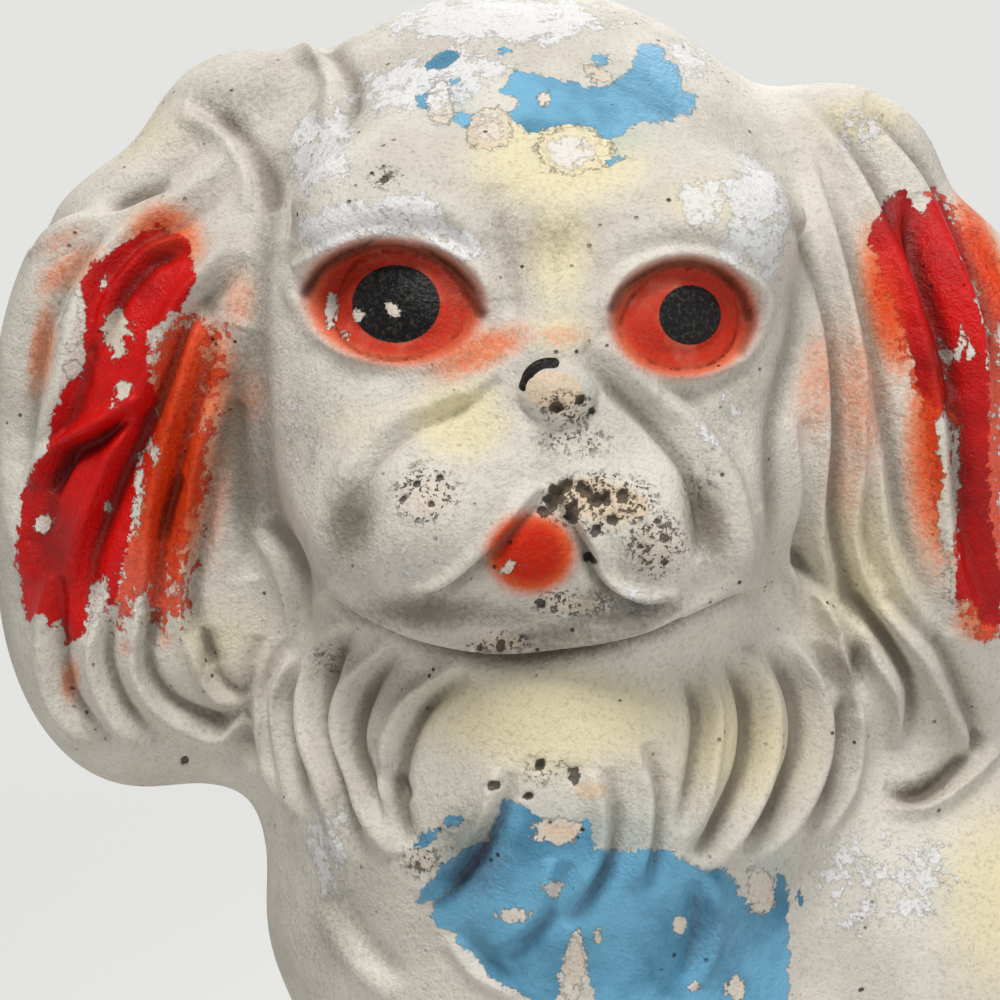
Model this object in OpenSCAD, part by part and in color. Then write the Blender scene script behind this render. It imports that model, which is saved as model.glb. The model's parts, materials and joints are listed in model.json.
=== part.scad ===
// Seated long-eared dog, a hollow plaster figure cast in two halves.
// X runs to the right as seen from the front, Y to the back, Z up.
// The origin is the middle of the face that the figure rests on.

/* [Head] */
// Height of the middle of the head above the table
head_z = 203; // [190:1:220]
// Distance of the middle of the head to the left of the middle of the base
head_x = 22; // [15:1:30]
// Half the width of the skull
skull_w = 46; // [42:1:54]
// Half the depth of the skull
skull_d = 47; // [42:1:54]
// Height of the crown above the middle of the head
crown_h = 53; // [46:1:60]
// Half the width of the face across the cheeks
cheek_w = 40; // [36:1:46]
// How far the middle of the cheeks lies in front of the middle of the head
cheek_y = 20; // [14:1:26]
// Turn of the face towards the right, in degrees
face_turn = 4; // [-10:1:15]
// Lean of the head towards the right, in degrees
head_lean = 3; // [-6:1:8]

/* [Eyes] */
// Distance between the middles of the eyes
eye_gap = 39; // [34:0.5:44]
// Height of the eyes above the middle of the head
eye_h = 8; // [4:0.5:12]
// Width of the left-hand eye's socket
eye_w = 22; // [18:0.5:26]
// Width of the right-hand eye's socket
eye_w_right = 18; // [15:0.5:22]
// Height of an eye's socket
eye_t = 16; // [13:0.5:19]
// Depth of an eye's socket
socket_d = 4; // [3:0.5:6]
// How far the eyeball bulges in its socket
eyeball_d = 5; // [3:0.5:7]
// Thickness of the brow over the eye
brow_d = 1; // [0.5:0.5:3]

/* [Muzzle] */
// Drop of the mouth below the middle of the head
mouth_drop = 18; // [14:0.5:22]
// Half the width of one jowl
jowl_w = 17; // [13:0.5:20]
// Distance between the middles of the jowls
jowl_gap = 27; // [22:0.5:32]
// How far the middles of the jowls lie in front of the middle of the head
jowl_y = 42; // [38:0.5:46]
// Width of the nose
nose_w = 10; // [8:0.5:15]
// How far the nose stands out
nose_out = 3; // [2:0.5:6]
// Drop of the chin below the middle of the head
chin_drop = 38; // [34:0.5:42]
// Depth of the mouth's lines and the creases of the face
crease_d = 2.5; // [1:0.25:4]

/* [Ears] */
// Reach of the left-hand ear from the middle of the head
ear_reach = 78; // [70:1:86]
// Reach of the right-hand ear from the middle of the head
ear_reach_right = 82; // [74:1:88]
// Half the thickness of an ear from front to back
ear_t = 24; // [18:1:28]
// Height of the middle of the ears' roots above the middle of the head
ear_root_h = 28; // [22:1:34]
// Drop of the right-hand ear below the middle of the head
ear_drop = 48; // [40:1:54]
// How much lower the left-hand ear hangs
ear_extra = 12; // [4:1:24]
// Depth of the grooves between the ears' locks
ear_lock_d = 3; // [1:0.25:4.5]

/* [Ruff and chest] */
// Half the width of the ruff
ruff_w = 42; // [38:1:47]
// Half the depth of the ruff
ruff_d = 44; // [38:1:48]
// Height of the middle of the ruff above the table
ruff_z = 142; // [134:1:148]
// Depth of the grooves between the ruff's locks
ruff_lock_d = 3; // [1:0.25:4.5]

/* [Body] */
// Half the length of the body behind the chest
body_l = 56; // [48:1:62]
// Half the width of the body
body_w = 44; // [38:1:50]
// Height of the middle of the body above the table
body_z = 92; // [84:1:100]
// Half the length of the haunch
haunch_l = 40; // [34:1:46]
// Half the width of a foreleg
leg_w = 15; // [12:0.5:18]
// Distance between the middles of the forelegs
leg_gap = 31; // [28:0.5:36]
// Half the width of a paw
paw_w = 15; // [12:0.5:17]
// Height of the paws above the table
paw_h = 26; // [22:0.5:32]
// Half the length of the tail's curl
tail_l = 22; // [16:1:26]

/* [Base] */
// Width of the base
base_w = 176; // [164:1:190]
// Depth of the base
base_d = 124; // [114:1:134]
// Height of the base
base_h = 10; // [7:0.5:14]
// Rounding of the base's rim
base_rim = 3; // [1:0.5:4]

/* [Casting] */
// Wall of the casting
wall = 9; // [6:0.5:12]
// Thickness of the casting's floor
floor_t = 15; // [13:0.5:20]
// Thickness of the joint of plaster slip between the halves
seam_t = 0.8; // [0.6:0.1:1.5]
// Size of the blends between the forms
blend = 4; // [2.5:0.25:6]

/* [Base closure] */
// Diameter of the seat for the closure disc in the underside
seat_d = 46; // [40:1:52]
// Width of the ledge that stops the disc
ledge = 5; // [3:0.5:7]
// Thickness of the closure disc, which is flush with the underside
closure_t = 8; // [5:0.5:9]
// Clearance around the disc
closure_gap = 0.4; // [0.3:0.05:0.8]

/* [Hidden] */

head = [-head_x, 0, head_z];
seat_z = closure_t;

// Columns of the loft across the front and the rear half, both even
front_cols = 48;
rear_cols = 24;
// Rows of the loft over the head, under the jaw, down the body and down the feet
head_rows = 40;
crown_rows = 9;
jaw_rows = 8;
body_rows = 16;
foot_rows = 8;
rows = head_rows + jaw_rows + body_rows + foot_rows;
// Drop of the rays' start under the jaw, and its height where the feet begin
jaw_fall = 34;
foot_z = 40;
// Rise of the rays where the crown ends
crown_rise = 38;

function smooth(t) = let (u = min(max(t, 0), 1)) u*u*(3 - 2*u);
function turned(p, a) = [p.x*cos(a) - p.y*sin(a), p.x*sin(a) + p.y*cos(a), p.z];
function leaned(p, a) = [p.x*cos(a) + p.z*sin(a), p.y, p.z*cos(a) - p.x*sin(a)];
// A point of the head, given as right, out and up from its middle
function on_head(right, out, up) = head + leaned([right, -out, up], head_lean);
function on_face(right, out, up) = head + leaned(turned([right, -out, up], face_turn), head_lean);

// The forms of the figure: middle, half sizes and turn about the upright
skull = [on_head(0, -3, 3), [skull_w, skull_d, crown_h - 3], 0];
cheeks = [on_face(0, cheek_y, -8), [cheek_w, 31, 38], face_turn];
jowls = [
    for (side = [-1, 1])
    [on_face(side*jowl_gap/2, jowl_y, -mouth_drop - 4), [jowl_w, 15, 14], face_turn]
];
chin = [on_face(0, jowl_y - 10, 9 - chin_drop), [24, 14, 12], face_turn];
nose_bed = [on_face(0, jowl_y + 2, -4), [10, 8, 12], face_turn];

brows = [for (side = [-1, 1]) [on_face(side*eye_gap/2, 37, eye_h + 12), [15, 8, 7], face_turn]];

function ear(side, reach, drop) =
[
    [on_head(side*(reach - 37), -2, ear_root_h - 1), [15, 16, 14], 0],
    [on_head(side*(reach - 38), 6, -6), [20, ear_t - 2, 34], 0],
    [on_head(side*(reach - 23), 1, -4), [21, ear_t, 28], 0],
    [on_head(side*(reach - 22), 3, -drop/2 - 6), [20, ear_t - 2, drop/2 + 2], 0],
    [on_head(side*(reach - 42), 2, -drop*0.75), [23, ear_t - 4, 21], 0]
];

ruff = [[-head_x + 4, -7, ruff_z], [ruff_w, ruff_d, 40], 0];
mane = [[10, 16, ruff_z + 4], [50, 36, 46], 0];
shoulder = [[-head_x - 4, -4, ruff_z - 24], [33, 38, 22], 0];
chest = [[-14, -6, ruff_z - 46], [ruff_w - 3, ruff_d, 48], 0];
body = [[32, 8, body_z], [body_l, body_w, 62], 0];
belly = [[2, 2, 50], [50, 42, 62], 0];
// The haunch stands just inside the base
haunch = [[base_w/2 - 2 - haunch_l, -8, 42], [haunch_l, 44, 40], 0];
rump = [[50, 16, 52], [34, 38, 50], 0];
legs = [for (side = [-1, 1]) [[-14 + side*leg_gap/2, -30 - side*2, 54], [leg_w, 19, 54], 0]];
paws = [for (side = [-1, 1]) [[-14 + side*leg_gap/2, -39, base_h + 2], [paw_w, 19, paw_h - base_h - 2], 0]];
hind_paw = [[42, -42, base_h + 1], [22, 14, paw_h - base_h - 4], 0];
tail = [[62, 36, 44], [tail_l, 18, 36], 0];

forms = concat(
    [skull, cheeks, chin, nose_bed],
    jowls,
    brows,
    ear(-1, ear_reach, ear_drop + ear_extra),
    ear(1, ear_reach_right, ear_drop),
    [ruff, mane, shoulder, chest, body, belly, haunch, rump],
    legs,
    paws,
    [hind_paw, tail]
);
// The forms that the hollow follows
hollow_forms = [skull, ruff, mane, chest, body, belly, haunch];

// Distance from a point to an ellipsoid, near enough for blending
function form_gap(p, f) =
    let (
        d = turned(p - f[0], -f[2]),
        q = [d.x/f[1].x, d.y/f[1].y, d.z/f[1].z],
        g = [q.x/f[1].x, q.y/f[1].y, q.z/f[1].z],
        k = norm(q)
    )
    k*(k - 1)/max(norm(g), 0.0001);

// Distance to the base, an oval slab with a rounded rim
function base_gap(p) =
    let (
        side = (norm([p.x/(base_w/2), p.y/(base_d/2)]) - 1)*base_d/2 + base_rim,
        top = p.z - base_h + base_rim
    )
    (side > 0 && top > 0 ? norm([side, top]) : max(side, top)) - base_rim;

function total(values) = values*[for (v = values) 1];
function figure_gap(p) =
    -blend*ln(total([for (f = forms) exp(-form_gap(p, f)/blend)]) + exp(-base_gap(p)*1.6/blend));
function hollow_gap(p) =
    wall - blend*ln(total([for (f = hollow_forms) exp(-form_gap(p, f)/blend)]));

function figure_reach(o, d, near, far, steps) =
    let (mid = (near + far)/2)
    steps == 0 ? mid :
    figure_gap(o + d*mid) < 0 ?
        figure_reach(o, d, mid, far, steps - 1) : figure_reach(o, d, near, mid, steps - 1);
function hollow_reach(o, d, near, far, steps) =
    let (mid = (near + far)/2)
    steps == 0 ? mid :
    hollow_gap(o + d*mid) < 0 ?
        hollow_reach(o, d, mid, far, steps - 1) : hollow_reach(o, d, near, mid, steps - 1);

// How steeply the rays look down under the jaw and the ears, by direction
function jaw_tilt(a) = 22 + 26*smooth((100 - abs(a + 40))/40);
function body_part(i) = (i - head_rows - jaw_rows)/body_rows;
// Heights of the rows round the feet and the base
foot_top = max(base_h, seat_z) + 0.8;
foot_heights = concat(
    [for (k = [1:foot_rows - 3]) foot_z + (foot_top - foot_z)*k/(foot_rows - 3)],
    [seat_z*0.8, seat_z*0.4, 0]
);

function ray_start(i) =
    i <= head_rows ? [-head_x, 0, head_z] :
    i <= head_rows + jaw_rows ? [-head_x, 0, head_z - jaw_fall*(i - head_rows)/jaw_rows] :
    i <= head_rows + jaw_rows + body_rows ?
        [-head_x*(1 - body_part(i)), 0, head_z - jaw_fall + (foot_z - head_z + jaw_fall)*body_part(i)] :
    [0, 0, foot_heights[i - head_rows - jaw_rows - body_rows - 1]];
function ray_rise(i, a) =
    i <= crown_rows ? 90 - (90 - crown_rise)*i/crown_rows :
    i <= head_rows ? crown_rise - (crown_rise + jaw_tilt(a))*(i - crown_rows)/(head_rows - crown_rows) :
    i <= head_rows + jaw_rows ? -jaw_tilt(a) :
    -atan(tan(jaw_tilt(a))*max(1 - body_part(i), 0));
function ray_dir(i, a) = let (e = ray_rise(i, a)) [cos(e)*sin(a), -cos(e)*cos(a), sin(e)];

// Carving on the front: grooves and ridges along lines given as points from left and from below.
// Each is: points, half width, height (less than 0 for a groove).
function flat(p) = [p.x, p.z];
eyes = [on_face(-eye_gap/2, 42, eye_h), on_face(eye_gap/2, 42, eye_h)];
eye_widths = [eye_w, eye_w_right];

function face_line(points) = [for (q = points) flat(on_face(q[0], 48, q[1]))];
function head_line(points) = [for (q = points) flat(on_head(q[0], 0, q[1]))];

face_strokes = concat(
    // Furrow of the forehead
    [[face_line([[-6, 26], [-5, 12], [-3, 4]]), 3, -crease_d*0.8]],
    // Brows
    [for (side = [-1, 1])
        [face_line([[side*11, eye_h + 9], [side*21, eye_h + 13], [side*32, eye_h + 9]]), 4, brow_d]],
    // Creases from the nose round the jowls
    [for (side = [-1, 1])
        [face_line([[side*7 - 1, 2], [side*17 - 3, -8], [side*23 - 3, -16], [side*25 - 3, -24],
            [side*21 - 3, -mouth_drop - 13]]), 2.6, -crease_d]],
    // The mouth's two lines and the line up to the nose
    [for (side = [-1, 1])
        [face_line([[-1, -mouth_drop], [side*6 - 1, -mouth_drop - 8], [side*13 - 1, -mouth_drop - 12],
            [side*21 - 2, -mouth_drop - 13]]), 2.2, -crease_d*0.7]],
    [[face_line([[-1, -mouth_drop], [-1, -9]]), 1.8, -crease_d*0.5]],
    // Nose
    [[face_line([[-nose_w/8, -3], [nose_w/8, -3]]), nose_w*0.4, nose_out]],
    // Lip with the tip of the tongue
    [[face_line([[-1, -mouth_drop - 6], [-1, -mouth_drop - 8]]), 4.5, 2.5]],
    // Edge of the face against the ears, and the line under the chin
    [for (side = [-1, 1])
        [head_line([[side*34, 28], [side*37, 16], [side*37, 2], [side*36, -12], [side*33, -26],
            [side*27, -32]]), 2.8, -crease_d*0.8]],
    [[head_line([[-27, -31], [-13, -chin_drop], [0, -chin_drop - 1], [15, -chin_drop + 1], [30, -31]]),
        2.2, -crease_d*0.8]]
);
// The ears' locks, given from the inner edge of the ear outwards
left_in = -ear_reach + 38;
right_in = ear_reach_right - 40;
ear_strokes = concat(
    [for (s = [
        [[0, 15], [-8, 6], [-10, -1]],
        [[-7, 16], [-14, 13], [-17, 8]],
        [[-14, -7], [-25, -14]],
        [[-13, -51], [-5, -54]],
        [[-19, -43], [-17, -52]],
        [[2, -40], [0, -55]]
    ]) [head_line([for (q = s) [left_in + q[0], q[1]]]), 4, -ear_lock_d*0.5]],
    [[head_line([[left_in, 4], [left_in - 2, -5], [left_in, -23], [left_in + 3, -32]]), 3, -ear_lock_d]],
    [for (s = [
        [[2, 32], [8, 17], [12, 9]],
        [[12, 22], [16, 3], [19, -18]],
        [[7, 3], [12, -17], [14, -37]],
        [[5, -35], [13, -48], [13, -56]]
    ]) [head_line([for (q = s) [right_in + q[0], q[1]]]), 3.6, -ear_lock_d*0.5]],
    [[head_line([[right_in, 15], [right_in + 4, 3], [right_in, -21], [right_in + 1, -32]]), 3, -ear_lock_d]]
);
ruff_mid = [-head_x + 5, ruff_z];
ruff_strokes = concat(
    [for (k = [0:2])
        [[ruff_mid + [-12 - 9*k, 19 + 3*k], ruff_mid + [-22 - 5.6*k, 8 + k], ruff_mid + [-20 - 4*k, -7]],
            2.6, -ruff_lock_d*0.8]],
    [for (k = [0:3])
        [[ruff_mid + [18 + 6*k, 20 + k], ruff_mid + [19.5 + 6.7*k, 5], ruff_mid + [18 + 5.5*k, -5 - k]],
            2.6, -ruff_lock_d*0.8]],
    [for (k = [0:2])
        [[ruff_mid + [-8 + 10*k, 8 + k], ruff_mid + [-9.5 + 11*k, 1], ruff_mid + [-17.5 + 14*k, -12]],
            3, -ruff_lock_d*0.5]],
    [for (k = [-1:1])
        [[ruff_mid + [k*11 + 4, -26], ruff_mid + [k*8, -44]], 3.4, -ruff_lock_d*0.4]]
);
leg_x = -14;
leg_strokes = concat(
    [[[[leg_x, ruff_z - 68], [leg_x, base_h + 2]], 3, -4]],
    // Toes
    [for (side = [-1, 1]) for (k = [-1, 1])
        let (x = leg_x + side*leg_gap/2)
        [[[x + k*paw_w*0.33, paw_h - 4], [x + k*paw_w*0.4, base_h + 1]], 1.6, -2.5]],
    // Fold in front of the haunch
    [[[[18, 62], [12, 44], [14, 24]], 4, -4]]
);
front_strokes = concat(face_strokes, ear_strokes, ruff_strokes, leg_strokes);

function line_gap(p, a, b) =
    let (d = b - a, t = min(max((p - a)*d/(d*d), 0), 1))
    norm(p - a - d*t);
function path_gap(p, path) = min([for (k = [0:len(path) - 2]) line_gap(p, path[k], path[k + 1])]);
function stroke(p, s) =
    let (g = path_gap(p, s[0])/s[1])
    g > 2.5 ? 0 : s[2]*exp(-g*g);
function eye_carving(p, k) =
    let (
        c = eyes[k],
        q = [(p.x - c.x)/(eye_widths[k]/2), (p.z - c.z)/(eye_t/2)],
        r = norm(q)
    )
    -socket_d*exp(-r*r*r*r*0.35) + (r < 1 ? eyeball_d*0.9*sqrt(1 - r*r) : 0);

// Locks of hair down the back: waves across the figure that lean as they fall
function back_waves(p, d, a) = 1.1*sin(a*9 + p.z*3)*smooth((p.z - 20)/30)*smooth(d.y/0.4);

function carving(p, d, a) =
    let (front = smooth(-d.y/0.35), q = [p.x, p.z])
    front > 0 ?
        front*(total([for (s = front_strokes) stroke(q, s)]) + eye_carving(p, 0) + eye_carving(p, 1)) :
        back_waves(p, d, a);

// Reach of the forms along the rays of one column, from the crown to the table
function column_reach(a) = [for (i = [0:rows]) figure_reach(ray_start(i), ray_dir(i, a), 12, 172, 13)];
// Hand smoothing: each reach is drawn towards its neighbours, down a column and then across
feet_row = rows - foot_rows;
function eased_column(c) =
    [for (i = [0:rows]) i == 0 || i >= feet_row ? c[i] : (c[i - 1] + 2*c[i] + c[i + 1])/4];
function eased(columns) =
    let (c = [for (column = columns) eased_column(column)], n = len(c) - 1)
    [for (j = [0:n]) j == 0 || j == n ? c[j] :
        [for (i = [0:rows]) i >= feet_row ? c[j][i] : (c[j - 1][i] + 2*c[j][i] + c[j + 1][i])/4]];

function carved_point(i, a, r) =
    let (o = ray_start(i), d = ray_dir(i, a), p = o + d*r)
    i >= rows - 2 ? p : p + d*carving(p, d, a);
function skin_columns(outer_a) =
    let (reach = eased(eased([for (a = outer_a) column_reach(a)])))
    [for (j = [0:len(outer_a) - 1]) [for (i = [0:rows]) carved_point(i, outer_a[j], reach[j][i])]];

// The hollow keeps clear of the floor and of the closure's seat
neck_r = seat_d/2 - ledge;
hollow_last = rows - 6;
function hollow_point(i, a) =
    let (
        o = ray_start(i),
        d = ray_dir(i, a),
        least = i > head_rows ? neck_r/cos(ray_rise(i, a)) + 2 : neck_r,
        r = max(hollow_reach(o, d, 12, 150, 10), least),
        p = o + d*r
    )
    p.z < floor_t ? o + d*min(r, (o.z - floor_t)/max(-d.z, 0.01)) : p;
// Columns lie closer together at the middle of a half than at its edges
function angles(from, cols, step, crowd) =
    [for (j = [0:step:cols]) let (u = 2*j/cols - 1) from + 90 + 90*u*(1 - crowd + crowd*u*u)];

// Turns faces over where e is 1
function facing(e, faces) = e == 0 ? faces : [for (f = faces) [f[0], f[2], f[1]]];

module half_casting(from, cols, crowd) {
    outer_a = angles(from, cols, 1, crowd);
    inner_a = angles(from, cols, 2, crowd);
    n = len(outer_a);
    m = len(inner_a);
    // Outer rows from the crown to the table
    skin = skin_columns(outer_a);
    outer = [for (i = [1:rows]) [for (column = skin) column[i]]];
    // Inner rows from the crown down to the floor, the neck of the opening, the ledge and the table
    inner = concat(
        [for (i = [2:2:hollow_last]) [for (a = inner_a) hollow_point(i, a)]],
        [[for (a = inner_a) [neck_r*sin(a), -neck_r*cos(a), floor_t]]],
        [[for (a = inner_a) [neck_r*sin(a), -neck_r*cos(a), seat_z]]],
        [[for (a = inner_a) [seat_d/2*sin(a), -seat_d/2*cos(a), seat_z]]],
        [[for (a = inner_a) [seat_d/2*sin(a), -seat_d/2*cos(a), 0]]]
    );
    k = len(inner);
    crown = skin[0][0];
    roof = hollow_point(0, 0);
    points = concat([crown], [for (r = outer) each r], [roof], [for (r = inner) each r]);
    o0 = 1;
    i0 = 2 + rows*n;
    function po(i, j) = o0 + (i - 1)*n + j;
    function pi(i, j) = i0 + (i - 1)*m + j;
    last = hollow_last/2;
    faces = concat(
        [for (j = [0:n - 2]) [0, po(1, j), po(1, j + 1)]],
        [for (i = [1:rows - 1]) for (j = [0:n - 2]) each [
            [po(i, j), po(i + 1, j), po(i + 1, j + 1)], [po(i, j), po(i + 1, j + 1), po(i, j + 1)]]],
        [for (j = [0:m - 2]) [i0 - 1, pi(1, j + 1), pi(1, j)]],
        [for (i = [1:k - 1]) for (j = [0:m - 2]) each [
            [pi(i, j), pi(i + 1, j + 1), pi(i + 1, j)], [pi(i, j), pi(i, j + 1), pi(i + 1, j + 1)]]],
        // The parting faces beside the hollow: two outer rows to each inner row
        [for (e = [0, 1]) let (jo = e*(n - 1), ji = e*(m - 1)) each facing(e, concat(
            [[0, i0 - 1, po(1, jo)], [po(1, jo), i0 - 1, pi(1, ji)], [po(1, jo), pi(1, ji), po(2, jo)]],
            [for (i = [1:last - 1]) each [
                [po(2*i, jo), pi(i, ji), po(2*i + 1, jo)],
                [po(2*i + 1, jo), pi(i, ji), pi(i + 1, ji)],
                [po(2*i + 1, jo), pi(i + 1, ji), po(2*i + 2, jo)]]],
            // Down past the floor, the neck, the ledge and the seat
            [[po(2*last, jo), pi(last, ji), po(2*last + 1, jo)],
             [po(2*last + 1, jo), pi(last, ji), po(2*last + 2, jo)],
             [po(2*last + 2, jo), pi(last, ji), pi(last + 1, ji)],
             [po(2*last + 2, jo), pi(last + 1, ji), po(2*last + 3, jo)],
             [po(2*last + 3, jo), pi(last + 1, ji), pi(last + 2, ji)],
             [po(2*last + 3, jo), pi(last + 2, ji), po(2*last + 4, jo)],
             [po(2*last + 4, jo), pi(last + 2, ji), pi(last + 3, ji)],
             [po(2*last + 4, jo), pi(last + 3, ji), po(2*last + 5, jo)],
             [po(2*last + 5, jo), pi(last + 3, ji), pi(last + 4, ji)],
             [po(2*last + 5, jo), pi(last + 4, ji), po(2*last + 6, jo)]]
        ))],
        // The face that rests on the table
        [for (j = [0:m - 2]) each [
            [po(rows, 2*j), pi(k, j), po(rows, 2*j + 1)],
            [po(rows, 2*j + 1), pi(k, j), pi(k, j + 1)],
            [po(rows, 2*j + 1), pi(k, j + 1), po(rows, 2*j + 2)]]]
    );
    polyhedron(points, facing(1, faces));
}

module front_casting()
    color("ivory")
    translate([0, -seam_t/2, 0])
    half_casting(-90, front_cols, 0.25);

module rear_casting()
    color("antiquewhite")
    translate([0, seam_t/2, 0])
    half_casting(90, rear_cols, 0);

// The joint follows the parting line from the table over the crown to the table
module seam_slip() {
    function edge(a) = concat(
        [for (i = [2:2:hollow_last]) flat(hollow_point(i, a))],
        [for (p = [[neck_r, floor_t], [neck_r, seat_z], [seat_d/2, seat_z], [seat_d/2, 0]])
            [p.x*sin(a), p.y]]
    );
    left_rim = [for (p = skin_columns([-90])[0]) flat(p)];
    right_rim = [for (p = skin_columns([90])[0]) flat(p)];
    function back(list) = [for (i = [len(list) - 1:-1:0]) list[i]];
    color("gainsboro")
    rotate([90, 0, 0])
    linear_extrude(height = seam_t, center = true)
    polygon(concat(
        back(left_rim), [for (i = [1:rows]) right_rim[i]],
        back(edge(90)), [flat(hollow_point(0, 0))], edge(-90)
    ));
}

// Plaster disc that closes the opening through which the casting was drained
module base_closure() {
    r = seat_d/2 - closure_gap;
    color("lightgray")
    rotate_extrude($fn = 96)
    polygon([[0, 0], [r - 1, 0], [r, 1], [r, closure_t], [0, closure_t]]);
}

front_casting();
rear_casting();
seam_slip();
base_closure();
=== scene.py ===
import bpy
import json
import math
import numpy as np
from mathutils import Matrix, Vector

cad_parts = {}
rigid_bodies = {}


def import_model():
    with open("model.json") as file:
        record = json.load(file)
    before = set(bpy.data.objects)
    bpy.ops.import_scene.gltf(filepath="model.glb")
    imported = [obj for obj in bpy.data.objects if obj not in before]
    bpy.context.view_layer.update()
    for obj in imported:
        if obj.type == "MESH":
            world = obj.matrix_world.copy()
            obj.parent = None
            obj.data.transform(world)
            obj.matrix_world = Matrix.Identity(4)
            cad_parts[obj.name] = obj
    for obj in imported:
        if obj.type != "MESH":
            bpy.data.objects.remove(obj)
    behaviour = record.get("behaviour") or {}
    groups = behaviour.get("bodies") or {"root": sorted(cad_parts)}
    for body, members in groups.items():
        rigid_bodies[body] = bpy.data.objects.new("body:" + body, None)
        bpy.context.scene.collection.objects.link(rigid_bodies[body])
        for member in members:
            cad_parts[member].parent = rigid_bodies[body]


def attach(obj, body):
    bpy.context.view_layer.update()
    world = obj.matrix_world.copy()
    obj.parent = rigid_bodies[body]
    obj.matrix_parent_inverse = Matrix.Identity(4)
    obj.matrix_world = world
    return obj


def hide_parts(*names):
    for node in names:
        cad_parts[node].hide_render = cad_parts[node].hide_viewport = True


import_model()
bpy.context.view_layer.update()
mm = 0.001
print("frame loaded")

# the photograph's viewing angle; a figure this size fills the picture at this distance
view = {
    "target": (-25.25 * mm, 0.0, 180 * mm),
    "distance": 420 * mm,
    "rise": math.radians(6),
    "span": 150 * mm,
    "pixels": 1000,
}


def makeCamera():
    data = bpy.data.cameras.new("camera")
    data.lens = 36 * view["distance"] / view["span"]
    camera = bpy.data.objects.new("camera", data)
    bpy.context.scene.collection.objects.link(camera)
    back = Vector((0, -math.cos(view["rise"]), math.sin(view["rise"])))
    camera.location = Vector(view["target"]) + back * view["distance"]
    camera.rotation_euler = (math.radians(90) - view["rise"], 0, 0)
    bpy.context.scene.camera = camera


# where points of the figure lie in the photograph, so that strokes can follow it
def pictureOf(points):
    rel = points - np.array(view["target"])
    up = rel[:, 2] * math.cos(view["rise"]) + rel[:, 1] * math.sin(view["rise"])
    near = rel[:, 2] * math.sin(view["rise"]) - rel[:, 1] * math.cos(view["rise"])
    scale = view["distance"] / (view["distance"] - near) * view["pixels"] / view["span"]
    half = view["pixels"] / 2
    return np.stack([half + rel[:, 0] * scale, half - up * scale], 1)


makeCamera()

# the cast forms, with the casting's own sizes
head = {
    "mid": (-22, 0, 203), "skullWide": 46, "skullDeep": 47, "crown": 53,
    "cheekWide": 40, "cheekOut": 20, "turn": 4, "lean": 3,
    "mouthDrop": 18, "jowlWide": 17, "jowlGap": 27, "jowlOut": 42, "chinDrop": 38,
}
ears = {"reach": 78, "reachRight": 82, "thick": 24, "rootUp": 28, "drop": 48, "extra": 12}
trunk = {
    "ruffWide": 42, "ruffDeep": 44, "ruffUp": 142, "bodyLong": 56, "bodyWide": 44, "bodyUp": 92,
    "haunch": 40, "legWide": 15, "legGap": 31, "pawWide": 15, "pawTall": 26, "tail": 22,
}
base = {"wide": 176, "deep": 124, "tall": 10, "rim": 3, "seat": 46, "seatDeep": 8, "footCut": 1.2}
blend = 4


def turned(p, degrees):
    a = math.radians(degrees)
    return (p[0] * math.cos(a) - p[1] * math.sin(a), p[0] * math.sin(a) + p[1] * math.cos(a), p[2])


def leaned(p):
    a = math.radians(head["lean"])
    return (p[0] * math.cos(a) + p[2] * math.sin(a), p[1], p[2] * math.cos(a) - p[0] * math.sin(a))


def onHead(right, out, up):
    return tuple(np.add(head["mid"], leaned((right, -out, up))))


def onFace(right, out, up):
    return tuple(np.add(head["mid"], leaned(turned((right, -out, up), head["turn"]))))


def earForms(side, reach, drop):
    thick = ears["thick"]
    return [
        (onHead(side * (reach - 37), -2, ears["rootUp"] - 1), (15, 16, 14), 0),
        (onHead(side * (reach - 38), 6, -6), (20, thick - 2, 34), 0),
        (onHead(side * (reach - 23), 1, -4), (21, thick, 28), 0),
        (onHead(side * (reach - 22), 3, -drop / 2 - 6), (20, thick - 2, drop / 2 + 2), 0),
        (onHead(side * (reach - 42), 2, -drop * 0.75), (23, thick - 4, 21), 0),
    ]


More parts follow.
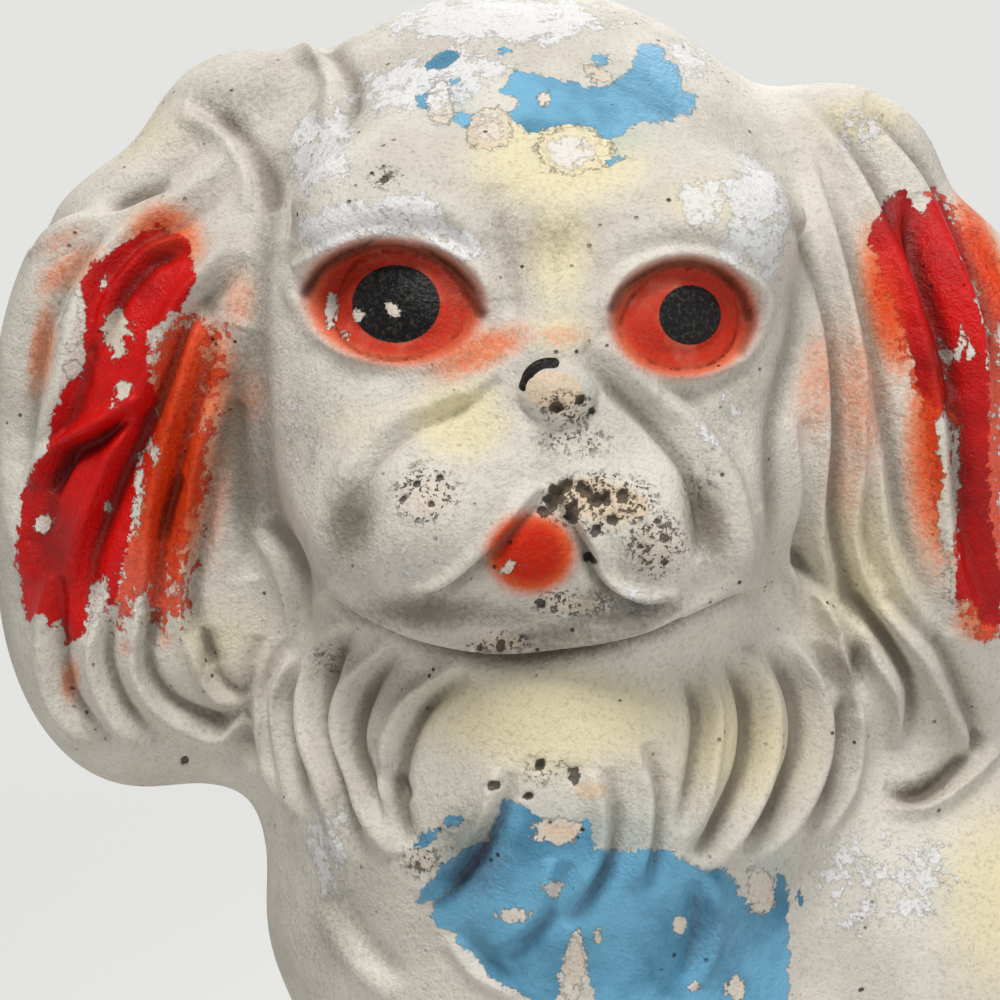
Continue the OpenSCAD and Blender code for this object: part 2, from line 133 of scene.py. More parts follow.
def figureForms():
    h, t = head, trunk
    forms = [
        (onHead(0, -3, 3), (h["skullWide"], h["skullDeep"], h["crown"] - 3), 0),
        (onFace(0, h["cheekOut"], -8), (h["cheekWide"], 31, 38), h["turn"]),
        (onFace(0, h["jowlOut"] - 10, 9 - h["chinDrop"]), (24, 14, 12), h["turn"]),
        (onFace(0, h["jowlOut"] + 2, -4), (10, 8, 12), h["turn"]),
    ]
    for side in (-1, 1):
        forms.append((onFace(side * h["jowlGap"] / 2, h["jowlOut"], -h["mouthDrop"] - 4),
                      (h["jowlWide"], 15, 14), h["turn"]))
        forms.append((onFace(side * 19.5, 37, 20), (15, 8, 7), h["turn"]))
    forms += earForms(-1, ears["reach"], ears["drop"] + ears["extra"])
    forms += earForms(1, ears["reachRight"], ears["drop"])
    forms += [
        ((h["mid"][0] + 4, -7, t["ruffUp"]), (t["ruffWide"], t["ruffDeep"], 40), 0),
        ((10, 16, t["ruffUp"] + 4), (50, 36, 46), 0),
        ((h["mid"][0] - 4, -4, t["ruffUp"] - 24), (33, 38, 22), 0),
        ((-14, -6, t["ruffUp"] - 46), (t["ruffWide"] - 3, t["ruffDeep"], 48), 0),
        ((32, 8, t["bodyUp"]), (t["bodyLong"], t["bodyWide"], 62), 0),
        ((2, 2, 50), (50, 42, 62), 0),
        ((86 - t["haunch"], -8, 42), (t["haunch"], 44, 40), 0),
        ((50, 16, 52), (34, 38, 50), 0),
        ((42, -42, base["tall"] + 1), (22, 14, t["pawTall"] - base["tall"] - 4), 0),
        ((62, 36, 44), (t["tail"], 18, 36), 0),
    ]
    for side in (-1, 1):
        x = -14 + side * t["legGap"] / 2
        forms.append(((x, -30 - side * 2, 54), (t["legWide"], 19, 54), 0))
        forms.append(((x, -39, base["tall"] + 2), (t["pawWide"], 19, t["pawTall"] - base["tall"] - 2), 0))
    return forms


forms = figureForms()


def formGap(p, form):
    mid, half, turn = form
    d = p - np.array(mid)
    if turn:
        a = math.radians(-turn)
        d = np.stack([d[:, 0] * math.cos(a) - d[:, 1] * math.sin(a),
                      d[:, 0] * math.sin(a) + d[:, 1] * math.cos(a), d[:, 2]], 1)
    q = d / np.array(half)
    k = np.linalg.norm(q, axis=1)
    return k * (k - 1) / np.maximum(np.linalg.norm(q / np.array(half), axis=1), 1e-4)


def baseGap(p):
    side = (np.hypot(p[:, 0] / (base["wide"] / 2), p[:, 1] / (base["deep"] / 2)) - 1) * base["deep"] / 2
    side = side + base["rim"]
    top = p[:, 2] - base["tall"] + base["rim"]
    corner = np.hypot(np.maximum(side, 0), np.maximum(top, 0))
    return np.where((side > 0) & (top > 0), corner, np.maximum(side, top)) - base["rim"]


# how far outside the blended forms a point lies, in mm
def figureGap(p):
    total = np.exp(-baseGap(p) * 1.6 / blend)
    for form in forms:
        total += np.exp(-formGap(p, form) / blend)
    return -blend * np.log(total)


def slope(p):
    e = 0.05
    g = np.stack([figureGap(p + np.eye(3)[k] * e) - figureGap(p - np.eye(3)[k] * e) for k in range(3)], 1)
    return g / (2 * e)


def coordsOf(obj):
    co = np.empty(len(obj.data.vertices) * 3)
    obj.data.vertices.foreach_get("co", co)
    return co.reshape(-1, 3)


def setCoords(obj, co):
    obj.data.vertices.foreach_set("co", co.ravel())
    obj.data.update()


def normalsOf(obj):
    n = np.empty(len(obj.data.vertices) * 3)
    obj.data.vertices.foreach_get("normal", n)
    return n.reshape(-1, 3)


def deselectAll():
    for obj in bpy.context.view_layer.objects:
        obj.select_set(False)


def only(obj):
    deselectAll()
    obj.select_set(True)
    bpy.context.view_layer.objects.active = obj


# Clay blank: a ball drawn out along its rays to the forms, then remeshed evenly
clay = {"segments": 240, "rings": 200, "voxel": 1.5, "jawTilt": (22, 48), "footUp": 40, "jawFall": 34,
        "nearest": 12.0, "farthest": 172.0, "halvings": 13}


def makeBlank():
    deselectAll()
    bpy.ops.mesh.primitive_uv_sphere_add(segments=clay["segments"], ring_count=clay["rings"], radius=1)
    blank = bpy.context.object
    blank.name = "clayBlank"
    co = coordsOf(blank)
    azimuth = np.arctan2(co[:, 0], -co[:, 1])
    part = np.arccos(np.clip(co[:, 2], -1, 1)) / math.pi       # 0 at the crown, 1 at the bottom
    tiltT = np.clip((100 - np.abs(np.degrees(azimuth) + 40)) / 40, 0, 1)
    tilt = np.radians(clay["jawTilt"][0] + (clay["jawTilt"][1] - clay["jawTilt"][0])
                      * tiltT * tiltT * (3 - 2 * tiltT))
    headPart, jawPart, bodyPart, footPart = 0.55, 0.64, 0.86, 0.96
    up = head["mid"][2]
    start = np.zeros_like(co)
    inHead = part <= headPart
    rise = np.where(inHead, math.pi / 2 - (math.pi / 2 + tilt) * part / headPart, 0)
    start[:, 0] = head["mid"][0]
    start[:, 2] = up
    inJaw = (part > headPart) & (part <= jawPart)
    k = (part - headPart) / (jawPart - headPart)
    start[inJaw, 2] = up - clay["jawFall"] * k[inJaw]
    rise[inJaw] = -tilt[inJaw]
    inBody = (part > jawPart) & (part <= bodyPart)
    k = (part - jawPart) / (bodyPart - jawPart)
    start[inBody, 0] = head["mid"][0] * (1 - k[inBody])
    start[inBody, 2] = up - clay["jawFall"] + (clay["footUp"] - up + clay["jawFall"]) * k[inBody]
    rise[inBody] = -np.arctan(np.tan(tilt[inBody]) * (1 - k[inBody]))
    inFoot = part > bodyPart
    k = np.clip((part - bodyPart) / (footPart - bodyPart), 0, 1)
    start[inFoot, 0] = 0
    start[inFoot, 2] = clay["footUp"] * (1 - k[inFoot])
    way = np.stack([np.cos(rise) * np.sin(azimuth), -np.cos(rise) * np.cos(azimuth), np.sin(rise)], 1)
    near = np.full(len(co), clay["nearest"])
    far = np.full(len(co), clay["farthest"])
    for step in range(clay["halvings"]):
        middle = (near + far) / 2
        inside = figureGap(start + way * middle[:, None]) < 0
        near = np.where(inside, middle, near)
        far = np.where(inside, far, middle)
    reach = (near + far) / 2
    under = np.clip((1 - part) / (1 - footPart), 0, 1)
    reach = np.where(part > footPart, reach * under, reach)
    setCoords(blank, (start + way * reach[:, None]) * mm)
    only(blank)
    blank.data.remesh_voxel_size = clay["voxel"] * mm
    blank.data.use_remesh_preserve_volume = False
    bpy.ops.object.voxel_remesh()
    return blank


# draws every vertex onto the forms; the underside stays flat
def pressToForms(obj, rounds):
    co = coordsOf(obj) / mm
    side = co[:, 2] > 0.8
    for step in range(rounds):
        p = co[side]
        g = slope(p)
        gap = figureGap(p)
        move = g * (gap / np.maximum((g * g).sum(1), 0.05))[:, None]
        far = np.linalg.norm(move, axis=1)
        co[side] = p - move * np.minimum(1, 2.5 / np.maximum(far, 1e-9))[:, None]
    co[~side, 2] = np.clip(co[~side, 2], 0, 0.8)
    co[:, 2] = np.maximum(co[:, 2], 0)
    setCoords(obj, co * mm)


def selectFaces(obj, mask):
    bpy.ops.object.mode_set(mode="OBJECT")
    obj.data.vertices.foreach_set("select", np.zeros(len(obj.data.vertices), bool))
    obj.data.edges.foreach_set("select", np.zeros(len(obj.data.edges), bool))
    obj.data.polygons.foreach_set("select", mask)


def faceMids(obj):
    mids = np.empty(len(obj.data.polygons) * 3)
    obj.data.polygons.foreach_get("center", mids)
    return mids.reshape(-1, 3)


def subdivideWhere(obj, test):
    only(obj)
    mask = test(faceMids(obj) / mm)
    bpy.ops.object.mode_set(mode="EDIT")
    bpy.ops.mesh.select_mode(type="FACE")
    selectFaces(obj, mask)
    bpy.ops.object.mode_set(mode="EDIT")
    bpy.ops.mesh.subdivide(number_cuts=1)
    bpy.ops.object.mode_set(mode="OBJECT")


# a finer settling along the surface's own normals
def settle(obj, rounds):
    for step in range(rounds):
        co = coordsOf(obj) / mm
        side = co[:, 2] > 0.8
        gap = figureGap(co[side])
        co[side] -= normalsOf(obj)[side] * np.clip(gap, -1, 1)[:, None]
        co[:, 2] = np.maximum(co[:, 2], 0)
        setCoords(obj, co * mm)


figure = makeBlank()
print("clay blank", len(figure.data.polygons), "faces")
pressToForms(figure, 2)
subdivideWhere(figure, lambda m: m[:, 2] > 1)
subdivideWhere(figure, lambda m: (m[:, 2] > 98) & (m[:, 1] < 6) & (m[:, 0] < 62))
print("clay figure", len(figure.data.polygons), "faces")
settle(figure, 2)


# Strokes of the modelling tool, each along a path in the photograph; widths and heights in mm
def smoothPath(path, steps=6):
    pts = np.array(path, float)
    if len(pts) < 3:
        return pts
    ends = np.vstack([2 * pts[0] - pts[1], pts, 2 * pts[-1] - pts[-2]])
    out = []
    for k in range(1, len(ends) - 2):
        a, b, c, d = ends[k - 1:k + 3]
        for s in range(steps):
            t = s / steps
            out.append(0.5 * (2 * b + (c - a) * t + (2 * a - 5 * b + 4 * c - d) * t * t
                              + (3 * b - a - 3 * c + d) * t ** 3))
    out.append(pts[-1])
    return np.array(out)


# signed distance to the path in picture units and how far along it each point lies
def pathGap(uv, path):
    pts = smoothPath(path)
    best = np.full(len(uv), 1e9)
    side = np.ones(len(uv))
    along = np.zeros(len(uv))
    total = len(pts) - 1
    for k in range(total):
        a, b = pts[k], pts[k + 1]
        d = b - a
        rel = uv - a
        t = np.clip(rel @ d / max(d @ d, 1e-9), 0, 1)
        off = rel - t[:, None] * d
        gap = np.hypot(off[:, 0], off[:, 1])
        closer = gap < best
        best = np.where(closer, gap, best)
        side = np.where(closer, np.sign(rel[:, 0] * d[1] - rel[:, 1] * d[0]), side)
        along = np.where(closer, (k + t) / total, along)
    return best, side, along


picMm = 7.3          # picture units to a millimetre on the face


def near(uv, path, reach):
    pts = np.array(path)
    low, high = pts.min(0) - reach, pts.max(0) + reach
    return np.where(((uv > low) & (uv < high)).all(1))[0]


strokeEnds = 0.25    # share of a path over which a stroke fades at each end


def stroke(field, uv, path, width, height, kind="lock"):
    w = width * picMm
    at = near(uv, path, w * 2.8)
    if not len(at):
        return
    gap, side, along = pathGap(uv[at], path)
    s = gap / w
    if kind == "lock":          # one side of the line stands over the other
        shape = side * s * np.exp(-s * s) * 2.8 - 0.5 * np.exp(-s * s * 4) * np.sign(height)
    else:
        shape = np.exp(-s * s)
    ends = np.minimum(np.clip(along / strokeEnds, 0, 1), np.clip((1 - along) / strokeEnds, 0, 1))
    field[at] += height * shape * np.sqrt(ends)


strokes = [
    # furrow and brows
    ([(498, 185), (503, 235), (512, 285), (520, 325)], 2.0, -1.3, "round"),
    ([(440, 200), (468, 228), (482, 262), (500, 300)], 1.8, 1.1, "round"),
    ([(570, 200), (550, 240), (546, 275), (556, 320)], 1.8, 1.0, "round"),
    ([(300, 268), (325, 232), (380, 210), (440, 214), (482, 246)], 2.6, 1.2, "round"),
    ([(596, 262), (635, 232), (690, 226), (740, 245), (768, 290)], 2.6, 1.2, "round"),
    ([(290, 150), (300, 190), (290, 240)], 2.4, -0.8, "round"),
    # lids over the eyes
    ([(302, 300), (322, 268), (360, 246), (400, 240), (445, 262), (472, 290), (484, 310)], 0.8, -0.7),
    ([(610, 312), (627, 286), (665, 264), (705, 264), (740, 290), (750, 315)], 0.8, -0.7),
    ([(310, 325), (345, 352), (400, 360), (450, 345), (490, 328)], 0.9, 0.5, "round"),
    ([(612, 330), (645, 362), (690, 376), (735, 362), (756, 335)], 0.9, 0.5, "round"),
    # folds under the eyes and beside the nose
    ([(512, 352), (470, 385), (425, 408), (380, 428), (345, 470), (322, 530)], 1.6, 1.1, "round"),
    ([(500, 378), (462, 408), (410, 430), (372, 462), (352, 505)], 1.2, -1.4, "round"),
    ([(505, 355), (480, 374), (462, 392)], 0.9, -0.9, "round"),
    ([(585, 345), (612, 385), (655, 425), (690, 470), (706, 520), (700, 560)], 1.5, -2.0, "round"),
    ([(600, 338), (640, 385), (690, 425), (728, 480), (742, 550), (735, 590)], 1.4, 1.5, "round"),
    ([(650, 360), (700, 405), (738, 450), (758, 510)], 1.5, -0.8, "round"),
    ([(420, 350), (370, 378), (320, 372)], 2.0, -0.6, "round"),
    ([(745, 370), (700, 396), (655, 390)], 1.6, -0.6, "round"),
    # jowls over the mouth, and the chin over the ruff
    ([(545, 488), (505, 530), (475, 562), (445, 585), (410, 598)], 1.2, -1.2),
    ([(558, 500), (588, 545), (602, 580), (640, 600), (680, 598)], 1.2, 1.4),
    ([(448, 596), (490, 616), (545, 622), (605, 606)], 1.4, -0.8, "round"),
    ([(320, 590), (370, 618), (430, 640), (500, 652), (570, 645), (640, 630), (700, 608), (765, 585)],
     1.5, 1.5),
    ([(320, 596), (370, 624), (430, 647), (500, 659), (570, 652), (640, 637), (700, 615), (765, 592)],
     0.9, -1.2, "round"),
    ([(550, 425), (544, 455), (546, 488)], 1.2, -0.9, "round"),
    # face edge against the ears
    ([(282, 150), (262, 220), (254, 300), (255, 400), (262, 500), (290, 560), (320, 592)],
     2.2, -1.6, "round"),
    ([(792, 150), (806, 230), (800, 330), (775, 430), (778, 520), (770, 585)], 2.0, -1.6, "round"),
    # left ear: root knob, long locks and the lower curls
    ([(300, 35), (330, 62), (345, 95), (330, 130)], 1.8, -1.3),
    ([(185, 108), (225, 128), (252, 165), (258, 210)], 1.8, -1.3),
    ([(230, 112), (150, 170), (84, 230), (36, 310), (18, 400), (22, 500), (40, 580)], 2.2, -1.2),
    ([(250, 150), (187, 205), (128, 245), (92, 300), (72, 380), (44, 470), (40, 540)], 1.9, -1.3),
    ([(236, 248), (212, 280), (180, 320), (150, 400), (112, 480), (84, 560), (80, 640)], 1.8, -1.7),
    ([(187, 242), (162, 250), (143, 261), (112, 300), (96, 350)], 1.4, -1.3),
    ([(143, 402), (100, 432), (63, 452), (40, 490)], 1.5, -2.0),
    ([(206, 300), (196, 360), (176, 440), (158, 520), (150, 600), (140, 650)], 1.7, -1.3),
    ([(238, 326), (227, 385), (229, 440), (238, 516), (250, 580)], 2.0, -1.9, "round"),
    ([(222, 400), (205, 470), (196, 540), (188, 610), (205, 670)], 1.7, -1.3),
    ([(183, 478), (170, 505), (158, 545)], 1.1, -1.0, "round"),
    ([(27, 250), (60, 228), (105, 206), (170, 190)], 1.6, -1.1),
    ([(60, 575), (52, 640), (62, 700), (100, 745)], 1.6, -1.4),
    ([(108, 600), (100, 660), (118, 710), (150, 745)], 1.5, -1.5),
    ([(150, 610), (142, 665), (165, 705), (215, 728), (240, 715)], 1.5, -1.5),
    ([(200, 630), (212, 680), (240, 705)], 1.4, -1.2),
    ([(259, 636), (250, 690), (244, 735), (258, 770)], 1.4, -1.6, "round"),
    ([(256, 530), (280, 560), (296, 600), (300, 640)], 1.3, -0.9),
    # right ear's locks
    ([(800, 95), (850, 150), (888, 220), (925, 320), (948, 420), (958, 530), (985, 630)], 2.0, -1.5),
    ([(858, 100), (915, 165), (955, 240), (985, 320), (1000, 420)], 1.9, -1.4),
    ([(815, 150), (842, 240), (866, 340), (884, 450), (900, 550), (942, 640)], 1.8, -1.4),
    ([(808, 230), (826, 330), (832, 430), (828, 530), (852, 615), (905, 690)], 1.8, -1.5),
    ([(905, 196), (915, 260), (938, 330), (956, 400)], 1.5, -1.1),
    ([(862, 380), (868, 460), (862, 540), (885, 610)], 1.3, -1.0),
    ([(800, 420), (802, 500), (792, 560), (812, 610)], 1.4, -1.1),
    ([(850, 600), (882, 645), (905, 695), (903, 750)], 1.5, -1.6),
    ([(880, 600), (930, 650), (960, 710), (985, 760)], 1.7, -1.3),
    ([(790, 560), (830, 600), (850, 650), (848, 715)], 1.6, -1.7),
    ([(885, 800), (925, 800), (960, 775), (992, 740)], 1.6, -1.8),
    # the ruff's locks
    ([(345, 625), (320, 670), (316, 730), (336, 790), (352, 860)], 1.6, -1.7),
    ([(395, 645), (358, 690), (346, 745), (368, 800), (398, 852)], 1.6, -1.7),
    ([(462, 668), (420, 702), (396, 748), (390, 800), (408, 852)], 1.6, -1.5),
    ([(372, 740), (382, 775), (410, 800)], 1.1, -1.3, "round"),
    ([(300, 660), (280, 700), (286, 760), (302, 815)], 1.4, -1.3),
    ([(280, 640), (262, 690), (268, 750), (284, 800)], 1.2, -0.9),
    ([(505, 770), (492, 820), (466, 862), (425, 905)], 1.6, -1.3),
    ([(600, 770), (612, 825), (600, 870), (560, 920)], 1.7, -1.3),
    ([(640, 745), (656, 795), (652, 850), (640, 890)], 1.5, -1.2),
    ([(690, 665), (706, 712), (702, 772), (688, 835)], 1.5, 1.4),
    ([(735, 652), (758, 702), (756, 765), (730, 825), (702, 865)], 1.7, 1.9),
    ([(775, 640), (806, 690), (810, 752), (782, 815), (748, 855)], 1.7, 2.0),
    ([(820, 640), (848, 700), (846, 775), (812, 835)], 1.5, 1.5),
    ([(560, 860), (545, 910), (500, 955)], 1.7, -1.0),
    ([(700, 880), (706, 930), (690, 985)], 1.7, 1.0),
    ([(455, 930), (480, 965), (520, 990)], 1.6, -0.8),
    ([(330, 900), (360, 950), (400, 990)], 2.2, -0.8),
]

# soft swellings and hollows: middle, half sizes, turn, height
swellings = [
    ((440, 515), 100, 66, -28, 1.8), ((652, 525), 78, 74, 22, 1.8), ((352, 522), 28, 46, 8, -2.0),
    ((708, 525), 24, 54, -14, -1.6), ((555, 345), 56, 44, 0, 0.9), ((492, 335), 24, 34, 30, -1.2),
    ((604, 335), 22, 32, -30, -1.2), ((420, 140), 90, 60, 0, 0.9), ((630, 140), 90, 60, 0, 0.9),
    ((560, 612), 84, 26, 0, 1.2), ((300, 450), 40, 80, 0, -0.8), ((760, 470), 26, 90, 0, 0.6),
    ((225, 90), 48, 40, 0, 1.2), ((320, 70), 40, 34, 0, 0.8), ((560, 720), 130, 60, 0, 0.8),
    ((900, 760), 60, 50, 0, -1.0), ((560, 930), 150, 60, 0, 0.8),
]

eyes = {
    "left": {"mid": (394, 303), "wide": 88, "tall": 58, "turn": 8, "pupil": (396, 304),
             "pupilWide": 44, "pupilTall": 39, "ball": (394, 306), "ballWide": 68, "ballTall": 54},
    "right": {"mid": (684, 318), "wide": 72, "tall": 56, "turn": -4, "pupil": (690, 315),
              "pupilWide": 31, "pupilTall": 30, "ball": (686, 319), "ballWide": 58, "ballTall": 50},
}


def ovalGap(uv, mid, wide, tall, turn=0):
    a = math.radians(turn)
    d = uv - np.array(mid)
    x = (d[:, 0] * math.cos(a) + d[:, 1] * math.sin(a)) / wide
    y = (d[:, 1] * math.cos(a) - d[:, 0] * math.sin(a)) / tall
    return np.hypot(x, y)


def smoothStep(t):
    t = np.clip(t, 0, 1)
    return t * t * (3 - 2 * t)


# hollows round pits, chips and worn places: middle, radius, depth
pits = [
    ((555, 497), 11, 1.5), ((572, 512), 9, 1.3), ((600, 500), 9, 1.2), ((584, 490), 8, 1.0),
    ((622, 497), 7, 0.9), ((612, 520), 6, 0.7), ((590, 560), 7, 1.0), ((566, 486), 7, 0.9),
    ((543, 512), 6, 0.8), ((596, 530), 6, 0.8), ((555, 408), 6, 1.2), ((577, 401), 5, 1.0),
    ((592, 411), 4, 0.8), ((405, 500), 4, 0.6), ((418, 486), 4, 0.6), ((440, 480), 4, 0.6),
    ((432, 505), 4, 0.5), ((540, 765), 6, 1.0), ((528, 796), 5, 0.8), ((574, 775), 9, 0.5),
    ((494, 785), 6, 0.8), ((500, 640), 5, 0.6), ((480, 640), 4, 0.5), ((540, 600), 6, 0.6),
    ((385, 180), 5, 0.5), ((655, 522), 4, 0.5), ((662, 560), 4, 0.5), ((640, 545), 4, 0.4),
    ((185, 762), 5, 0.6),
]


socketForm = {"deep": 3.4, "upperLid": 1.6, "lowerLid": 0.5, "ball": 3.6}
nose = {"mid": (557, 392), "wide": 40, "tall": 30, "out": 2.6,
        "arc": [(524, 386), (530, 372), (542, 364), (554, 363)], "arcWide": 6.5}
tongue = {"mid": (530, 556), "wide": 52, "tall": 46, "out": 1.6,
          "paintMid": (531, 553), "paintWide": 62, "paintTall": 56}
room = {"low": (-99.4, -62.4, 0), "high": (87.5, 61.8, 255.4)}     # the casting's own box, in mm


def sculptFront(obj):
    co = coordsOf(obj)
    uv = pictureOf(co)
    n = normalsOf(obj)
    facing = smoothStep((0.25 - n[:, 1]) / 0.45) * smoothStep((-co[:, 1] / mm + 3) / 4)
    field = np.zeros(len(co))
    for path, width, height, *kind in strokes:
        stroke(field, uv, path, width, height, *kind)
    grooves = np.clip(-field, 0, 3)
    for mid, wide, tall, turn, height in swellings:
        k = ovalGap(uv, mid, wide, tall, turn)
        field += height * np.exp(-k * k * 1.4)
    for eye in eyes.values():
        k = ovalGap(uv, eye["mid"], eye["wide"], eye["tall"], eye["turn"])
        field -= socketForm["deep"] * (1 - smoothStep((k - 0.6) / 0.48))
        upper = smoothStep((eye["mid"][1] - uv[:, 1]) / 40 + 0.5)
        field += socketForm["upperLid"] * np.exp(-((k - 1.12) / 0.13) ** 2) * upper
        field += socketForm["lowerLid"] * np.exp(-((k - 1.1) / 0.12) ** 2) * (1 - upper)
        ball = ovalGap(uv, eye["ball"], eye["ballWide"], eye["ballTall"])
        field += socketForm["ball"] * np.sqrt(np.clip(1 - ball ** 2, 0, 1))
    # the nose is a small worn knob, and the tongue's tip lies between the jowls
    knob = ovalGap(uv, nose["mid"], nose["wide"], nose["tall"])
    field += nose["out"] * np.sqrt(np.clip(1 - knob ** 2, 0, 1))
    tip = ovalGap(uv, tongue["mid"], tongue["wide"], tongue["tall"])
    field += tongue["out"] * np.clip(1 - tip ** 2, 0, 1)
    holes = np.zeros(len(co))
    rng = np.random.default_rng(7)
    for mid, radius, depth in pits:
        turns = np.arctan2(uv[:, 1] - mid[1], uv[:, 0] - mid[0])
        rough = 1 if radius > 7 else 0.4
        ragged = 1 + 0.3 * rough * np.sin(turns * 2 + rng.uniform(0, 6))
        ragged = ragged + 0.2 * rough * np.sin(turns * 5 + rng.uniform(0, 6))
        k = np.hypot(uv[:, 0] - mid[0], uv[:, 1] - mid[1]) / (radius * ragged)
        holes = np.maximum(holes, depth * (1 - smoothStep((k - 0.5) / 0.7)))
    out = co + n * ((field - holes) * facing * mm)[:, None]
    setCoords(obj, np.clip(out, np.array(room["low"]) * mm, np.array(room["high"]) * mm))
    return grooves * facing, holes * facing


hair = {"wave": 1.1, "lock": 0.55, "strand": 0.25}     # heights in mm


# long waves of hair down the back and the sides
def sculptBack(obj):
    co = coordsOf(obj)
    n = normalsOf(obj)
    x, y, z = (co / mm).T
    turns = np.degrees(np.arctan2(x, -y)) % 360
    field = hair["wave"] * np.sin(np.radians(turns * 9 + z * 3))
    lock = np.sin(np.radians(turns * 26 + z * 5 + 50 * np.sin(z / 14)))
    field += hair["lock"] * lock * np.sin(np.radians(z * 4 + 30))
    field += hair["strand"] * np.sin(np.radians(turns * 47 - z * 9))
    weight = smoothStep((z - 20) / 25) * smoothStep((y - 2) / 22) * smoothStep((252 - z) / 26)
    setCoords(obj, co + n * (field * weight * mm)[:, None])


carved, pitted = sculptFront(figure)
sculptBack(figure)
print("front modelled")


# Paint: soft or signed amounts per vertex, laid over the front of the figure
def polyGap(uv, outline):
    pts = np.array(outline, float)
    best = np.full(len(uv), 1e9)
    inside = np.zeros(len(uv), bool)
    for k in range(len(pts)):
        a, b = pts[k], pts[(k + 1) % len(pts)]
        d = b - a
        rel = uv - a
        t = np.clip(rel @ d / max(d @ d, 1e-9), 0, 1)
        best = np.minimum(best, np.hypot(*(rel - t[:, None] * d).T))
        if a[1] != b[1]:
            crosses = (a[1] > uv[:, 1]) != (b[1] > uv[:, 1])
            inside ^= crosses & (uv[:, 0] < d[0] * (uv[:, 1] - a[1]) / d[1] + a[0])
    return np.where(inside, best, -best)


# 0.5 at the outline, 1 well inside and 0 well outside
def patchOf(uv, outline, soft):
    return np.clip(0.5 + polyGap(uv, outline) / (2 * soft), 0, 1)


def blobOf(uv, mid, wide, tall, turn=0, hard=0.35):
    return smoothStep((1 - ovalGap(uv, mid, wide, tall, turn)) / (1 - hard))


flecks = [
    ((440, 60), 14, 6, -15), ((432, 102), 13, 9, 20), ((470, 120), 14, 8, 0), ((455, 82), 6, 4, 0),
    ((505, 50), 5, 3, 0), ((600, 60), 8, 5, 0), ((690, 100), 6, 10, 0), ((428, 838), 14, 6, -30),
    ((800, 900), 5, 9, 0), ((455, 820), 9, 5, -20), ((610, 160), 14, 6, 0),
]

paint = {
    "leftRed": [(124, 242), (93, 263), (80, 282), (80, 305), (84, 345), (84, 368), (63, 386), (50, 415),
                (50, 436), (50, 452), (36, 465), (23, 495), (17, 543), (17, 575), (29, 623), (44, 613),
                (50, 628), (59, 617), (66, 644), (84, 631), (93, 606), (107, 577), (109, 612), (118, 590),
                (128, 540), (150, 470), (160, 420), (150, 380), (150, 330), (178, 312), (196, 285),
                (187, 242), (160, 225)],
    "leftOrange": [(165, 322), (205, 322), (212, 360), (206, 420), (202, 490), (189, 522), (182, 575),
                   (175, 615), (160, 630), (145, 598), (136, 622), (126, 625), (110, 612), (120, 560),
                   (145, 470), (150, 400), (150, 350)],
    "rightRed": [(876, 222), (884, 204), (896, 192), (906, 188), (914, 206), (924, 214), (934, 198),
                 (946, 206), (960, 240), (975, 290), (990, 340),
                 (988, 400), (990, 520), (1004, 600), (1004, 625), (985, 625), (970, 600), (955, 600),
                 (955, 420), (925, 400), (905, 340), (882, 270), (868, 240)],
    "rightOrange": [(935, 200), (965, 215), (1004, 290), (1004, 640), (985, 640), (965, 610), (950, 560),
                    (938, 470), (925, 420), (905, 350), (885, 290), (890, 260), (930, 330), (985, 420),
                    (975, 300)],
    "forehead": [(500, 92), (512, 72), (545, 76), (590, 88), (610, 84), (630, 68), (640, 45), (658, 42),
                 (664, 58), (676, 66), (684, 80), (684, 112), (672, 122), (640, 124), (618, 134), (604, 150),
                 (592, 128), (572, 126), (545, 128), (528, 136), (510, 116), (518, 100)],
    "chest": [(502, 800), (524, 806), (555, 828), (588, 820), (596, 850), (640, 848), (672, 852), (700, 872),
              (725, 870), (748, 900), (770, 905), (776, 868), (788, 880), (790, 1005), (598, 1005),
              (586, 970), (574, 930), (562, 975), (556, 1005), (500, 985), (478, 960), (455, 935), (432, 925),
              (436, 905), (458, 890), (415, 905), (430, 880), (462, 850), (488, 838)],
}

chips = [
    ((115, 333), 12, 25, 0), ((133, 335), 3, 6, 0), ((162, 329), 4, 5, 0), ((103, 284), 3, 7, 30),
    ((124, 390), 5, 13, 40), ((153, 451), 4, 10, -15), ((138, 494), 5, 26, 5), ((108, 507), 5, 5, 0),
    ((44, 524), 10, 10, 0), ((73, 322), 11, 36, 5), ((72, 366), 8, 14, 0), ((96, 600), 7, 22, 15),
    ((142, 612), 7, 16, 0), ((510, 565), 10, 6, -30), ((394, 311), 6, 5, 0), ((356, 316), 5, 4, 0),
    ((331, 312), 5, 14, 8), ((343, 335), 8, 4, 20), ((946, 440), 8, 24, 0), ((950, 500), 9, 60, 4),
    ((948, 575), 7, 26, 0), ((945, 350), 4, 20, -8), ((970, 350), 3, 9, 0), ((960, 345), 3, 14, 0),
    ((545, 98), 6, 5, 0), ((600, 75), 12, 7, 20), ((490, 130), 22, 22, 0), ((440, 100), 12, 22, 0),
    ((575, 150), 40, 24, 0), ((560, 830), 22, 14, 0), ((575, 965), 12, 34, 8), ((515, 916), 18, 8, 0),
    ((680, 925), 9, 9, 0), ((555, 888), 12, 9, 0), ((735, 990), 9, 12, 0), ((760, 890), 14, 22, 0),
    ((596, 935), 5, 9, 0), ((695, 985), 6, 5, 0),
]

# painted shade along and under the upper lids and at the right eye's outer corner: path, width and amount
lidShadeLines = [
    ([(306, 292), (324, 268), (360, 249), (398, 243), (442, 262), (468, 288), (482, 312)], 9, 0.85),
    ([(612, 308), (627, 287), (665, 266), (705, 266), (738, 290), (749, 318)], 8, 0.8),
    ([(335, 280), (365, 262), (400, 258), (440, 276), (462, 300)], 20, 0.42),
    ([(632, 300), (665, 282), (700, 280), (730, 300)], 17, 0.4),
    ([(742, 350), (751, 325), (745, 300)], 9, 0.6),
]
